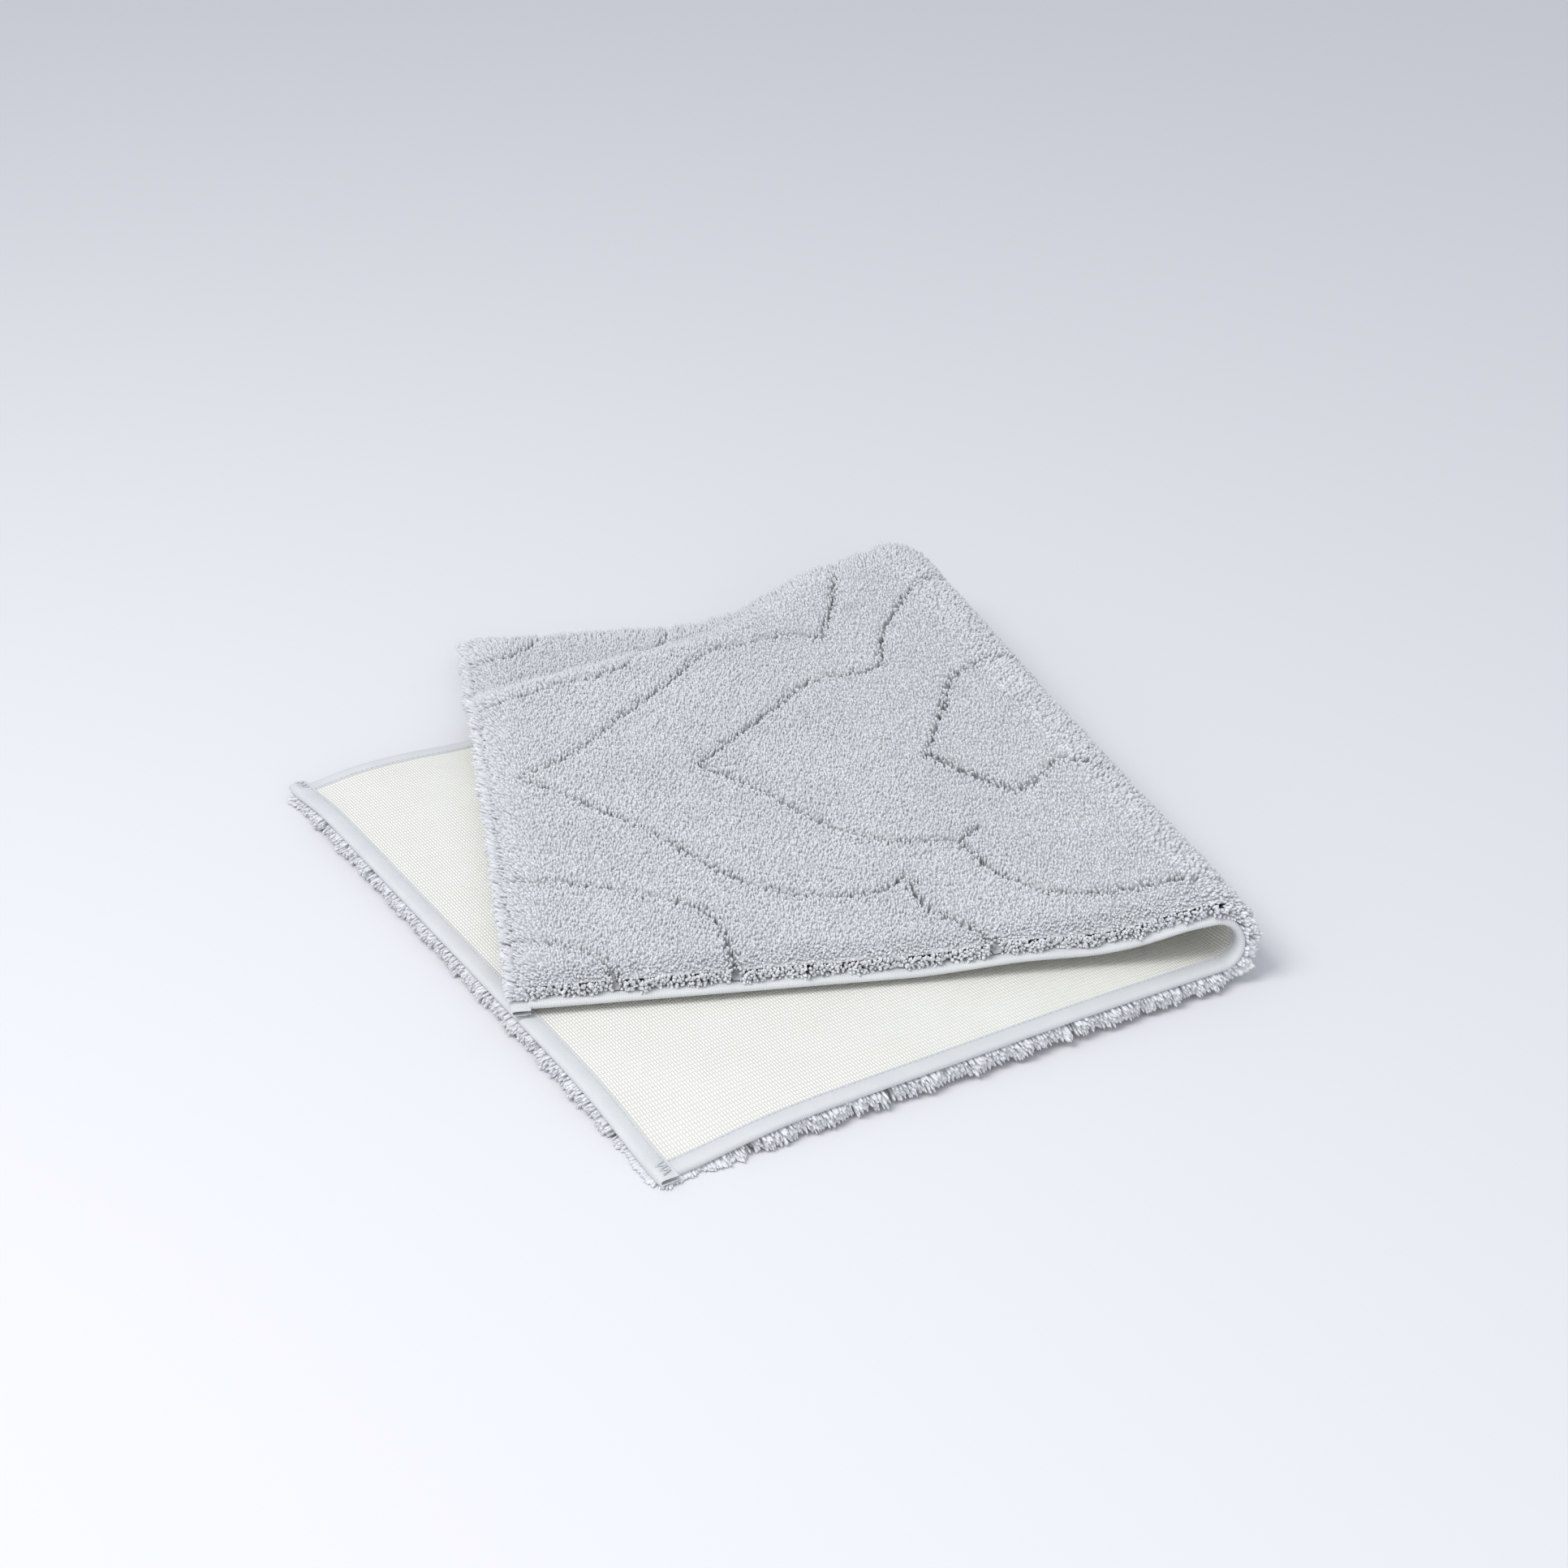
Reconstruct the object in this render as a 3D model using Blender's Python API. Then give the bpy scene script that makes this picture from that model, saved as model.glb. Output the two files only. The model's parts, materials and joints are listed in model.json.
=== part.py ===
"""Bath mat with a carved tufted pile, folded once across the middle, back to back.

The mat is drawn flat and then folded. In the flat drawing X runs along the mat from the end of
the lower half to the end of the upper half, Y runs across it (front edge at -Y), and Z = 0 is the
coated back, with the pile hanging below it. The fold is a chain of flat bands joined along crease
lines that lie on the coated back: four creases turn the mat over in a loop that is tighter at the
front edge than at the back edge, and a fifth lets the upper half down onto the lower one.

Each band has an empty on its crease line. The band's pieces are children of that empty, and each
empty is a child of the one before it, so turning the empties unfolds the mat.
"""

import math

import bmesh
import bpy
from mathutils import Matrix, Vector

# ---- driving dimensions, in metres and degrees ----
WIDTH = 0.508
LENGTH = 0.864

BACKING_THICK = 0.0010
CLOTH_THICK = 0.0010
PILE_HEIGHT = 0.0129
GAP = 0.0003

TAPE_THICK = 0.0006
TAPE_FACE = 0.0110
TAPE_OVERHANG = 0.0045
SEAM_INSET = 0.0016
SEAM_WIDTH = 0.0008
SEAM_THICK = 0.0004
TACK_LENGTH = 0.0080
TACK_WIDTH = 0.0030

PILE_ROOT_CLEARANCE = 0.0015
PILE_OVERHANG = 0.0030
PILE_ROUNDING = 0.0025
GROOVE_WIDTH = 0.0030
GROOVE_DEPTH = 0.0090

FOLD_START_FRONT = 0.398
FOLD_START_BACK = 0.483
FOLD_BAND_FRONT = 0.0107
FOLD_BAND_BACK = 0.0210
FOLD_BANDS = 3
FOLD_TURN = 49.3
REST_GAP = 0.0050

# ---- heights in the flat drawing, all measured from the coated back at Z = 0 ----
CLOTH_TOP = -(BACKING_THICK + GAP)
PILE_TOP = CLOTH_TOP - CLOTH_THICK - GAP
PILE_TIP = PILE_TOP - PILE_HEIGHT
TAPE_INNER = GAP + TAPE_THICK
TAPE_OUTER = PILE_TOP - TAPE_THICK
SEAM_TOP = TAPE_INNER + GAP + SEAM_THICK

# Carved lines of one half of the mat. The first number of a point is its distance from the short
# end as a share of half the length, and the second its place across, from -1 at the front edge to
# 1 at the back edge. The other half carries the same drawing turned half round.
CARVED_LINES = {
    "corner_back": [(-0.10, 0.70), (0.03, 0.83), (0.10, 0.90), (0.17, 1.10)],
    "side_back": [(-0.10, 0.31), (0.03, 0.45), (0.14, 0.54), (0.25, 0.63), (0.33, 0.87), (0.36, 1.10)],
    "outer_leaf_back": [
        (0.05, 0.03), (0.14, 0.14), (0.24, 0.35), (0.32, 0.52),
        (0.39, 0.68), (0.45, 0.71), (0.53, 0.70), (0.59, 0.63),
    ],
    "rib_back": [(0.59, 0.63), (0.62, 0.78), (0.66, 1.10)],
    "inner_leaf_back": [
        (0.33, 0.03), (0.46, 0.29), (0.52, 0.40), (0.57, 0.44),
        (0.66, 0.41), (0.69, 0.58), (0.79, 0.80), (0.86, 0.86),
    ],
    "inner_leaf_front": [
        (0.33, 0.03), (0.41, -0.12), (0.49, -0.32), (0.58, -0.44), (0.68, -0.46), (0.72, -0.42),
    ],
    "bud_front": [(0.68, -0.46), (0.73, -0.68), (0.82, -0.80), (1.00, -0.88)],
    "petal_back": [(0.69, -0.04), (0.74, 0.14), (0.77, 0.25), (0.87, 0.32)],
    "petal_front": [
        (0.69, -0.04), (0.75, -0.20), (0.81, -0.31), (0.88, -0.24), (0.94, -0.36), (1.00, -0.42),
    ],
    "petal_rib": [(0.87, 0.20), (0.90, 0.07), (0.94, -0.06)],
    "outer_leaf_front": [
        (0.05, 0.03), (0.14, -0.12), (0.25, -0.34), (0.34, -0.56),
        (0.43, -0.67), (0.54, -0.68), (0.59, -0.60),
    ],
    "rib_front": [(0.59, -0.60), (0.60, -0.76), (0.66, -0.92), (0.70, -1.10)],
    "side_front": [(-0.10, -0.46), (0.08, -0.52), (0.22, -0.62), (0.30, -0.76), (0.31, -1.10)],
    "corner_front": [(-0.10, -0.74), (0.06, -0.80), (0.13, -0.90), (0.15, -1.10)],
}
LINE_STEPS = 4

FINISHES = {
    "backing": ((0.83, 0.82, 0.74), 0.75),
    "ground_cloth": ((0.72, 0.73, 0.74), 0.90),
    "tape": ((0.55, 0.58, 0.61), 0.70),
    "seam": ((0.62, 0.62, 0.61), 0.65),
    "pile": ((0.53, 0.56, 0.58), 0.95),
}


def clear_scene():
    for thing in list(bpy.data.objects):
        bpy.data.objects.remove(thing)


def finish(name):
    """The material called name, made once."""
    made = bpy.data.materials.get(name)
    if made is None:
        colour, roughness = FINISHES[name]
        made = bpy.data.materials.new(name)
        made.use_nodes = True
        shader = made.node_tree.nodes["Principled BSDF"]
        shader.inputs["Base Color"].default_value = (*colour, 1)
        shader.inputs["Roughness"].default_value = roughness
        shader.inputs["Metallic"].default_value = 0
        made.diffuse_color = (*colour, 1)
    return made


# ---- the creases ----


class Crease:
    """A straight line across the flat mat, which the mat turns about by angle (positive folds it up)."""

    def __init__(self, front, back, angle):
        self.start = Vector((front, -WIDTH / 2, 0))
        self.along = (Vector((back, WIDTH / 2, 0)) - self.start).normalized()
        self.middle = Vector(((front + back) / 2, 0, 0))
        self.angle = angle

    def at(self, across):
        """Distance along the mat at which the crease crosses the place across."""
        return self.start.x + (across - self.start.y) * self.along.x / self.along.y

    def clearance(self, heights):
        """Room, along the mat, that a piece at these heights leaves to the crease to turn freely."""
        closing_side = max(heights) if self.angle > 0 else -min(heights)
        lean = max(0, closing_side) * math.tan(abs(self.angle) / 2)
        return (GAP / 2 + lean) / self.along.y

    def turn(self):
        """The fold about this crease, in the flat drawing's coordinates."""
        to_crease = Matrix.Translation(self.middle)
        return to_crease @ Matrix.Rotation(-self.angle, 4, self.along) @ to_crease.inverted()


def loop_creases():
    """The creases of the loop that turns the mat over."""
    return [
        Crease(
            FOLD_START_FRONT + number * FOLD_BAND_FRONT,
            FOLD_START_BACK + number * FOLD_BAND_BACK,
            math.radians(FOLD_TURN),
        )
        for number in range(FOLD_BANDS + 1)
    ]


def landing_crease(loop):
    """The crease where the slope that leaves the loop has come down to REST_GAP above the lower half."""
    folded = Matrix.Identity(4)
    for crease in loop:
        folded = folded @ crease.turn()
    fall = folded.to_3x3()[2][0]

    def landing(across):
        height = (folded @ Vector((0, across, 0))).z
        return (REST_GAP - height) / fall

    steepness = math.acos(-folded.to_3x3()[2][2])
    return Crease(landing(-WIDTH / 2), landing(WIDTH / 2), -steepness)


# ---- bands ----


class Band:
    """One rigid stretch of the folded mat, between two creases or between a crease and an end."""

    def __init__(self, name, first, last, parent):
        self.name = name
        self.first = first
        self.last = last
        self.origin = first.middle if first else Vector((0, 0, 0))
        self.frame = bpy.data.objects.new(name + "_axis", None)
        self.frame.empty_display_size = 0.03
        bpy.context.scene.collection.objects.link(self.frame)
        if parent:
            self.frame.parent = parent.frame
            self.frame.location = self.origin - parent.origin
            self.frame.rotation_mode = "QUATERNION"
            self.frame.rotation_quaternion = Matrix.Rotation(-first.angle, 3, first.along).to_quaternion()

    def low(self, across, heights, inset):
        """Where a piece of the band that fills these heights begins along the mat, at this place across."""
        if self.first:
            return self.first.at(across) + self.first.clearance(heights)
        return inset

    def high(self, across, heights, inset):
        """Where it ends."""
        if self.last:
            return self.last.at(across) - self.last.clearance(heights)
        return LENGTH - inset


def make_bands():
    loop = loop_creases()
    creases = loop + [landing_crease(loop)]
    names = ["lower"] + ["fold_" + str(number + 1) for number in range(FOLD_BANDS)] + ["slope", "upper"]
    bands = []
    for number, name in enumerate(names):
        first = creases[number - 1] if number else None
        last = creases[number] if number < len(creases) else None
        bands.append(Band(name, first, last, bands[-1] if bands else None))
    return bands


# ---- solids ----


def add_solid(band, name, mesh_data, finish_name):
    """A closed piece of a band. mesh_data is in the flat drawing's coordinates."""
    bmesh.ops.recalc_face_normals(mesh_data, faces=mesh_data.faces)
    bmesh.ops.translate(mesh_data, verts=mesh_data.verts, vec=-band.origin)
    mesh = bpy.data.meshes.new(name)
    mesh_data.to_mesh(mesh)
    mesh_data.free()
    mesh.materials.append(finish(finish_name))
    piece = bpy.data.objects.new(name, mesh)
    bpy.context.scene.collection.objects.link(piece)
    piece.parent = band.frame
    return piece


def close_end(solid, corners):
    """Fills an end. An end with eight corners is a tape's: its two flaps and the strip that joins them."""
    if len(corners) == 4:
        solid.faces.new(corners)
        return
    solid.faces.new(corners[:4])
    solid.faces.new(corners[4:])
    solid.faces.new((corners[0], corners[3], corners[4], corners[7]))


def swept_along(band, outline, end_room=0.0):
    """A solid whose cross-section is outline, a list of (across, height), swept along the band.

    end_room is how far it stays from the mat's short end, where the band has one.
    """
    solid = bmesh.new()
    heights = [z for y, z in outline]
    starts = [solid.verts.new((band.low(y, heights, end_room), y, z)) for y, z in outline]
    ends = [solid.verts.new((band.high(y, heights, end_room), y, z)) for y, z in outline]
    count = len(outline)
    for here in range(count):
        after = (here + 1) % count
        solid.faces.new((starts[here], starts[after], ends[after], ends[here]))
    close_end(solid, starts)
    close_end(solid, ends)
    return solid


def stacked(band, heights, inset_at):
    """A solid that covers the band, with sides that stay inset_at(height) inside the mat's edges."""
    solid = bmesh.new()
    rings = []
    for height in heights:
        inset = inset_at(height)
        across = WIDTH / 2 - inset
        ring = []
        for place in (-across, across):
            ends = [band.low(place, [height], inset), band.high(place, [height], inset)]
            ring += [(x, place, height) for x in (ends if place < 0 else reversed(ends))]
        rings.append([solid.verts.new(corner) for corner in ring])
    for ring, following in zip(rings, rings[1:]):
        for here in range(4):
            after = (here + 1) % 4
            solid.faces.new((ring[here], ring[after], following[after], following[here]))
    solid.faces.new(rings[0])
    solid.faces.new(rings[-1])
    return solid


def swept_across(outline, half_width):
    """A solid whose cross-section is outline, a list of (along, height), swept across the mat."""
    solid = bmesh.new()
    sides = [[solid.verts.new((x, y, z)) for x, z in outline] for y in (-half_width, half_width)]
    count = len(outline)
    for here in range(count):
        after = (here + 1) % count
        solid.faces.new((sides[0][here], sides[0][after], sides[1][after], sides[1][here]))
    close_end(solid, sides[0])
    close_end(solid, sides[1])
    return solid


def slab(half_width, top, bottom):
    return [(-half_width, top), (half_width, top), (half_width, bottom), (-half_width, bottom)]


def tape_outline(edge, inward):
    """Cross-section of tape folded over an edge: edge is its place, inward the way to the middle."""
    fold = edge - inward * (GAP + TAPE_THICK)
    inside = edge - inward * GAP
    rim = edge + inward * TAPE_FACE
    return [
        (fold, TAPE_INNER),
        (rim, TAPE_INNER),
        (rim, GAP),
        (inside, GAP),
        (inside, PILE_TOP),
        (rim, PILE_TOP),
        (rim, TAPE_OUTER),
        (fold, TAPE_OUTER),
    ]


def seam_outline(edge, inward):
    """Cross-section of the line of thread that holds the tape, lying on the tape's face beside its rim."""
    middle = edge + inward * (TAPE_FACE - SEAM_INSET)
    near, far = middle - inward * SEAM_WIDTH / 2, middle + inward * SEAM_WIDTH / 2
    return [(near, SEAM_TOP), (far, SEAM_TOP), (far, TAPE_INNER + GAP), (near, TAPE_INNER + GAP)]


# ---- the pieces ----


def make_backing(band):
    outline = slab(WIDTH / 2, 0, -BACKING_THICK)
    add_solid(band, band.name + "_backing", swept_along(band, outline), "backing")


def make_ground_cloth(band):
    outline = slab(WIDTH / 2, CLOTH_TOP, CLOTH_TOP - CLOTH_THICK)
    add_solid(band, band.name + "_ground_cloth", swept_along(band, outline), "ground_cloth")


def make_side_binding(band):
    """The tape and its seam on the front and back edges. They stop where the end tape begins."""
    end_room = TAPE_FACE + GAP
    for side, inward in (("front", 1), ("back", -1)):
        edge = -inward * WIDTH / 2
        tape = swept_along(band, tape_outline(edge, inward), end_room)
        add_solid(band, f"{band.name}_{side}_tape", tape, "tape")
        seam = swept_along(band, seam_outline(edge, inward), end_room)
        add_solid(band, f"{band.name}_{side}_seam", seam, "seam")


def make_end_binding(band, edge, inward):
    """The tape, its seam and its two corner tacks on the band's short end."""
    half_width = WIDTH / 2 + GAP + TAPE_THICK
    tape = swept_across(tape_outline(edge, inward), half_width + TAPE_OVERHANG)
    add_solid(band, band.name + "_end_tape", tape, "tape")
    seam = swept_across(seam_outline(edge, inward), WIDTH / 2 - TAPE_FACE)
    add_solid(band, band.name + "_end_seam", seam, "seam")
    middle = edge + inward * TAPE_FACE / 2
    outline = [
        (middle - TACK_LENGTH / 2, SEAM_TOP),
        (middle + TACK_LENGTH / 2, SEAM_TOP),
        (middle + TACK_LENGTH / 2, TAPE_INNER + GAP),
        (middle - TACK_LENGTH / 2, TAPE_INNER + GAP),
    ]
    for side, toward in (("front", -1), ("back", 1)):
        tack = swept_across(outline, TACK_WIDTH / 2)
        bmesh.ops.translate(tack, verts=tack.verts, vec=(0, toward * WIDTH / 2, 0))
        add_solid(band, f"{band.name}_{side}_tack", tack, "seam")


def pile_inset(height):
    """How far the pile stays inside the edge: clear of the tape at its root, past the edge at its tip."""
    root = TAPE_FACE + PILE_ROOT_CLEARANCE
    flare_start = TAPE_OUTER - GAP
    flare_end = PILE_TIP + PILE_ROUNDING
    if height >= flare_start:
        return root
    if height <= flare_end:
        return flare_end - height - PILE_OVERHANG
    share = (flare_start - height) / (flare_start - flare_end)
    return root - share * (root + PILE_OVERHANG)


def make_pile(band, cutters):
    heights = [PILE_TOP, TAPE_OUTER - GAP, PILE_TIP + PILE_ROUNDING, PILE_TIP]
    pile = add_solid(band, band.name + "_pile", stacked(band, heights, pile_inset), "pile")
    for number, cutter in enumerate(cutters):
        cut = pile.modifiers.new("carve_" + str(number + 1), "BOOLEAN")
        cut.object = cutter
        cut.operation = "DIFFERENCE"
        cut.solver = "EXACT"


# ---- carving ----


def smooth_line(points):
    """A Catmull-Rom curve through the points, with LINE_STEPS steps between each two."""
    padded = [2 * points[0] - points[1], *points, 2 * points[-1] - points[-2]]
    line = []
    for a, b, c, d in zip(padded, padded[1:], padded[2:], padded[3:]):
        for step in range(LINE_STEPS):
            t = step / LINE_STEPS
            squared = (2 * a - 5 * b + 4 * c - d) * t**2
            cubed = (3 * b - a - 3 * c + d) * t**3
            line.append(0.5 * (2 * b + (c - a) * t + squared + cubed))
    return [*line, points[-1]]


def placed_on_half(share_along, share_across, upper):
    """A point of the drawing on the flat mat, on the upper or the lower half."""
    along = share_along * LENGTH / 2
    across = share_across * WIDTH / 2
    return Vector((LENGTH - along, across)) if upper else Vector((along, -across))


def make_cutter(name, line):
    """A closed wall GROOVE_WIDTH thick that follows the line, reaching GROOVE_DEPTH into the pile."""
    bottom, top = PILE_TIP - PILE_ROUNDING, PILE_TIP + GROOVE_DEPTH
    solid = bmesh.new()
    rows = []
    for number, point in enumerate(line):
        before, after = line[max(number - 1, 0)], line[min(number + 1, len(line) - 1)]
        direction = (after - before).normalized()
        sideways = Vector((-direction.y, direction.x)) * GROOVE_WIDTH / 2
        left, right = point - sideways, point + sideways
        corners = [(left, bottom), (right, bottom), (right, top), (left, top)]
        rows.append([solid.verts.new((*place, height)) for place, height in corners])
    for row, following in zip(rows, rows[1:]):
        for here in range(4):
            after = (here + 1) % 4
            solid.faces.new((row[here], row[after], following[after], following[here]))
    solid.faces.new(rows[0])
    solid.faces.new(rows[-1])
    bmesh.ops.recalc_face_normals(solid, faces=solid.faces)
    mesh = bpy.data.meshes.new(name)
    solid.to_mesh(mesh)
    solid.free()
    cutter = bpy.data.objects.new(name, mesh)
    bpy.context.scene.collection.objects.link(cutter)
    cutter.hide_render = True
    cutter.display_type = "WIRE"
    return cutter


def make_cutters(band):
    """The cutters that cross a band, placed on it. Each band has its own, because each lies its own way."""
    cutters = []
    for half in ("lower", "upper"):
        for name, points in CARVED_LINES.items():
            line = smooth_line([placed_on_half(x, y, half == "upper") for x, y in points])
            if not any(band.low(y, [0], 0) < x < band.high(y, [0], 0) for x, y in line):
                continue
            cutter = make_cutter(f"cutter_{band.name}_{half}_{name}", line)
            cutter.data.transform(Matrix.Translation(-band.origin))
            cutter.parent = band.frame
            cutters.append(cutter)
    return cutters


def stand_on_origin(root):
    """Turns the fold parallel to Y, lays the mat on Z = 0 and centres its bounding box on the origin."""
    root.rotation_euler.z = fold_heading()
    root.location.z = -PILE_TIP
    bpy.context.view_layer.update()
    solids = [o for o in bpy.data.objects if o.type == "MESH" and not o.hide_render]
    corners = [o.matrix_world @ vertex.co for o in solids for vertex in o.data.vertices]
    for axis in (0, 1):
        places = [corner[axis] for corner in corners]
        root.location[axis] -= (min(places) + max(places)) / 2
    bpy.context.view_layer.update()


def fold_heading():
    """The turn about Z that brings the first crease parallel to Y."""
    across = FOLD_START_BACK - FOLD_START_FRONT
    return math.atan2(across, WIDTH)


def main():
    clear_scene()
    bands = make_bands()
    for band in bands:
        make_backing(band)
        make_ground_cloth(band)
        make_side_binding(band)
        make_pile(band, make_cutters(band))
    make_end_binding(bands[0], 0, 1)
    make_end_binding(bands[-1], LENGTH, -1)
    stand_on_origin(bands[0].frame)


main()
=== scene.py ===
# %% [markdown]
# # A folded bath mat
#
# The mat is a tufted cloth with ribbed tape round its edges, folded once, back to back. Every piece is
# first made on the mat laid out flat, where it is easy to describe, and then folded by one function.
# The same function folds the coated cloth, the tape, each stitch and each tuft, so they stay together.

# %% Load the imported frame
import json
import math

import bmesh
import bpy
import numpy as np
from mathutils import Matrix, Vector


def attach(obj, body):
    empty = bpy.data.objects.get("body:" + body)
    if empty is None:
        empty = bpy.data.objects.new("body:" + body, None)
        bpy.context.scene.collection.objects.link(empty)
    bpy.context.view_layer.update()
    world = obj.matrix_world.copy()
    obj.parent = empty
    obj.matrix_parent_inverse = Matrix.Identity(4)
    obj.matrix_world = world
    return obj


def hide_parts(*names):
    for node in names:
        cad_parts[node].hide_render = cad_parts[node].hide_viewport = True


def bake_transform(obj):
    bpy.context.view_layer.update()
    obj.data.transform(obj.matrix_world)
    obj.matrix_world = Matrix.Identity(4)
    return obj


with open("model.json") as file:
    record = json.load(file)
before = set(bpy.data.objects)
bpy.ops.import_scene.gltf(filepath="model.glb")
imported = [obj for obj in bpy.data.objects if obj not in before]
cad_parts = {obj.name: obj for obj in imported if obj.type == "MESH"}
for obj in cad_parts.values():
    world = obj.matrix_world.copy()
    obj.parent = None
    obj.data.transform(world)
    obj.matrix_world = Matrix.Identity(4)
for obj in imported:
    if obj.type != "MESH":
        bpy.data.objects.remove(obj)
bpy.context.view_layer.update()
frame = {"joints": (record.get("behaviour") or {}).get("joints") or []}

# %% [markdown]
# ## The camera
#
# A long lens from a good two metres away keeps the mat's edges nearly parallel. The camera looks down at
# 29 degrees from a little left of the front. It is made first, because every later choice is judged in it.

# %% Camera
CAMERA_TARGET = Vector((0.0653, 0.0702, 0.0))
CAMERA_DISTANCE = 2.1069
CAMERA_ELEVATION = math.radians(28.897)
CAMERA_AZIMUTH = math.radians(-21.449)
FOCAL_LENGTH = 70.87

toward_camera = Vector((
    math.sin(CAMERA_AZIMUTH) * math.cos(CAMERA_ELEVATION),
    -math.cos(CAMERA_AZIMUTH) * math.cos(CAMERA_ELEVATION),
    math.sin(CAMERA_ELEVATION),
))
camera_data = bpy.data.cameras.new("camera")
camera_data.lens = FOCAL_LENGTH
camera_data.sensor_width = 36
camera = bpy.data.objects.new("camera", camera_data)
camera.location = CAMERA_TARGET + toward_camera * CAMERA_DISTANCE
camera.rotation_euler = toward_camera.to_track_quat("Z", "Y").to_euler()
bpy.context.scene.collection.objects.link(camera)
bpy.context.scene.camera = camera
print("camera at", tuple(round(x, 3) for x in camera.location))

# %% [markdown]
# ## Floor and light
#
# A plain pale floor runs far back. One wide lamp above and to the left gives soft shadows. A weaker one in
# front lights the faces that look forward, and a pale sky fills the rest, so the tufts keep their small
# dark gaps without hard edges.

# %% Floor and light
FLOOR_HALF = 9.0


def soft_lamp(name, place, size, watts, aim=(0.0, 0.0, 0.0)):
    """A square lamp that faces aim."""
    data = bpy.data.lights.new(name, "AREA")
    data.size = size
    data.energy = watts
    lamp = bpy.data.objects.new(name, data)
    lamp.location = place
    lamp.rotation_euler = (Vector(place) - Vector(aim)).to_track_quat("Z", "Y").to_euler()
    bpy.context.scene.collection.objects.link(lamp)
    return lamp


floor_mesh = bpy.data.meshes.new("floor")
floor_mesh.from_pydata(
    [(x * FLOOR_HALF, y * FLOOR_HALF, 0) for x, y in ((-1, -1), (1, -1), (1, 1), (-1, 1))],
    [],
    [(0, 1, 2, 3)],
)
floor = bpy.data.objects.new("floor", floor_mesh)
bpy.context.scene.collection.objects.link(floor)

floor_paint = bpy.data.materials.new("floor_paint")
floor_paint.use_nodes = True
floor_shader = floor_paint.node_tree.nodes["Principled BSDF"]
floor_shader.inputs["Base Color"].default_value = (0.70, 0.702, 0.715, 1)
floor_shader.inputs["Roughness"].default_value = 0.9
floor_mesh.materials.append(floor_paint)

soft_lamp("main_lamp", (-1.35, -0.45, 2.3), 1.3, 44)
soft_lamp("front_lamp", (-0.3, -2.6, 0.8), 1.4, 14)

sky = bpy.data.worlds.new("sky")
sky.use_nodes = True
sky.node_tree.nodes["Background"].inputs["Color"].default_value = (0.85, 0.885, 0.96, 1)
sky.node_tree.nodes["Background"].inputs["Strength"].default_value = 0.76
bpy.context.scene.world = sky
bpy.context.scene.view_settings.view_transform = "Standard"

# %% [markdown]
# ## The flat mat and its folds
#
# A place on the flat mat has three numbers: along (from the lower half's short end), across (front edge
# negative) and depth (0 at the coated back, growing into the pile). The mat folds about five straight
# lines. The frame's first joint says where the first line lies, and the joints' ranges how far each turns.

# %% The mat's sizes and its fold lines
WIDTH = 0.508
LENGTH = 0.864
CLOTH_DEPTH = 0.0023
PILE_DEPTH = 0.0155
TAPE_FACE = 0.0110

# Where each fold line meets the front edge and the back edge, along the mat.
FOLD_LINES = [(0.3980, 0.4830), (0.4087, 0.5040), (0.4194, 0.5250), (0.4301, 0.5460), (0.49851, 0.69753)]
FOLD_TURNS = [math.radians(joint["range_deg"][1]) for joint in frame["joints"]]
FOLD_TURNS[-1] = -FOLD_TURNS[-1]
LOOP_BAND = (0.0107, 0.0210)
LANDING_REACH = 0.025
BODIES = ["lower_half", "fold_band_1", "fold_band_2", "fold_band_3", "slope_band", "upper_half"]


def between(front, back, across):
    """A value at this place across, where it goes evenly from front at one edge to back at the other."""
    return front + (back - front) * (across / WIDTH + 0.5)


def line_direction(number):
    front, back = FOLD_LINES[number]
    return np.array([back - front, WIDTH, 0.0]) / math.hypot(back - front, WIDTH)


def turn_matrix(axis, angle):
    x, y, z = axis
    cross = np.array([[0, -z, y], [z, 0, -x], [-y, x, 0]])
    return np.eye(3) + math.sin(angle) * cross + (1 - math.cos(angle)) * cross @ cross


def chain_of_bands():
    """(rotation, shift) of each rigid band of the folded mat."""
    heading = math.atan2(FOLD_LINES[0][1] - FOLD_LINES[0][0], WIDTH)
    rotation = turn_matrix((0, 0, 1), heading)
    first_middle = np.array([sum(FOLD_LINES[0]) / 2, 0, 0])
    shift = np.array(frame["joints"][0]["pos_m"]) - rotation @ first_middle
    bands = [(rotation, shift)]
    for number, angle in enumerate(FOLD_TURNS):
        middle = np.array([sum(FOLD_LINES[number]) / 2, 0, 0])
        turned = rotation @ turn_matrix(line_direction(number), -angle)
        shift = rotation @ middle + shift - turned @ middle
        rotation = turned
        bands.append((rotation, shift))
    return bands


BANDS = chain_of_bands()
print("bands:", len(BANDS), "upper half's back at", np.round(BANDS[-1][1], 4))

# %% [markdown]
# ## Bending instead of creasing
#
# The hinge chain has sharp creases. Cloth doesn't, so each crease is rounded by a curve that leaves one
# band and meets the next along their own directions (a quadratic Bezier curve with the crease as its
# middle point). Round the loop the curves meet in the middle of the bands, so the loop is smooth.

# %% Rounded folds


def soft_range(number, across):
    """Where the curve about a fold line starts and ends, along the mat."""
    middle = between(*FOLD_LINES[number], across)
    reach = LANDING_REACH if number == len(FOLD_LINES) - 1 else between(*LOOP_BAND, across) / 2
    return middle - reach, middle + reach


def on_band(number, along, across):
    rotation, shift = BANDS[number]
    flat = np.stack([along, across, np.zeros_like(along)], axis=-1)
    return flat @ rotation.T + shift


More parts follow.
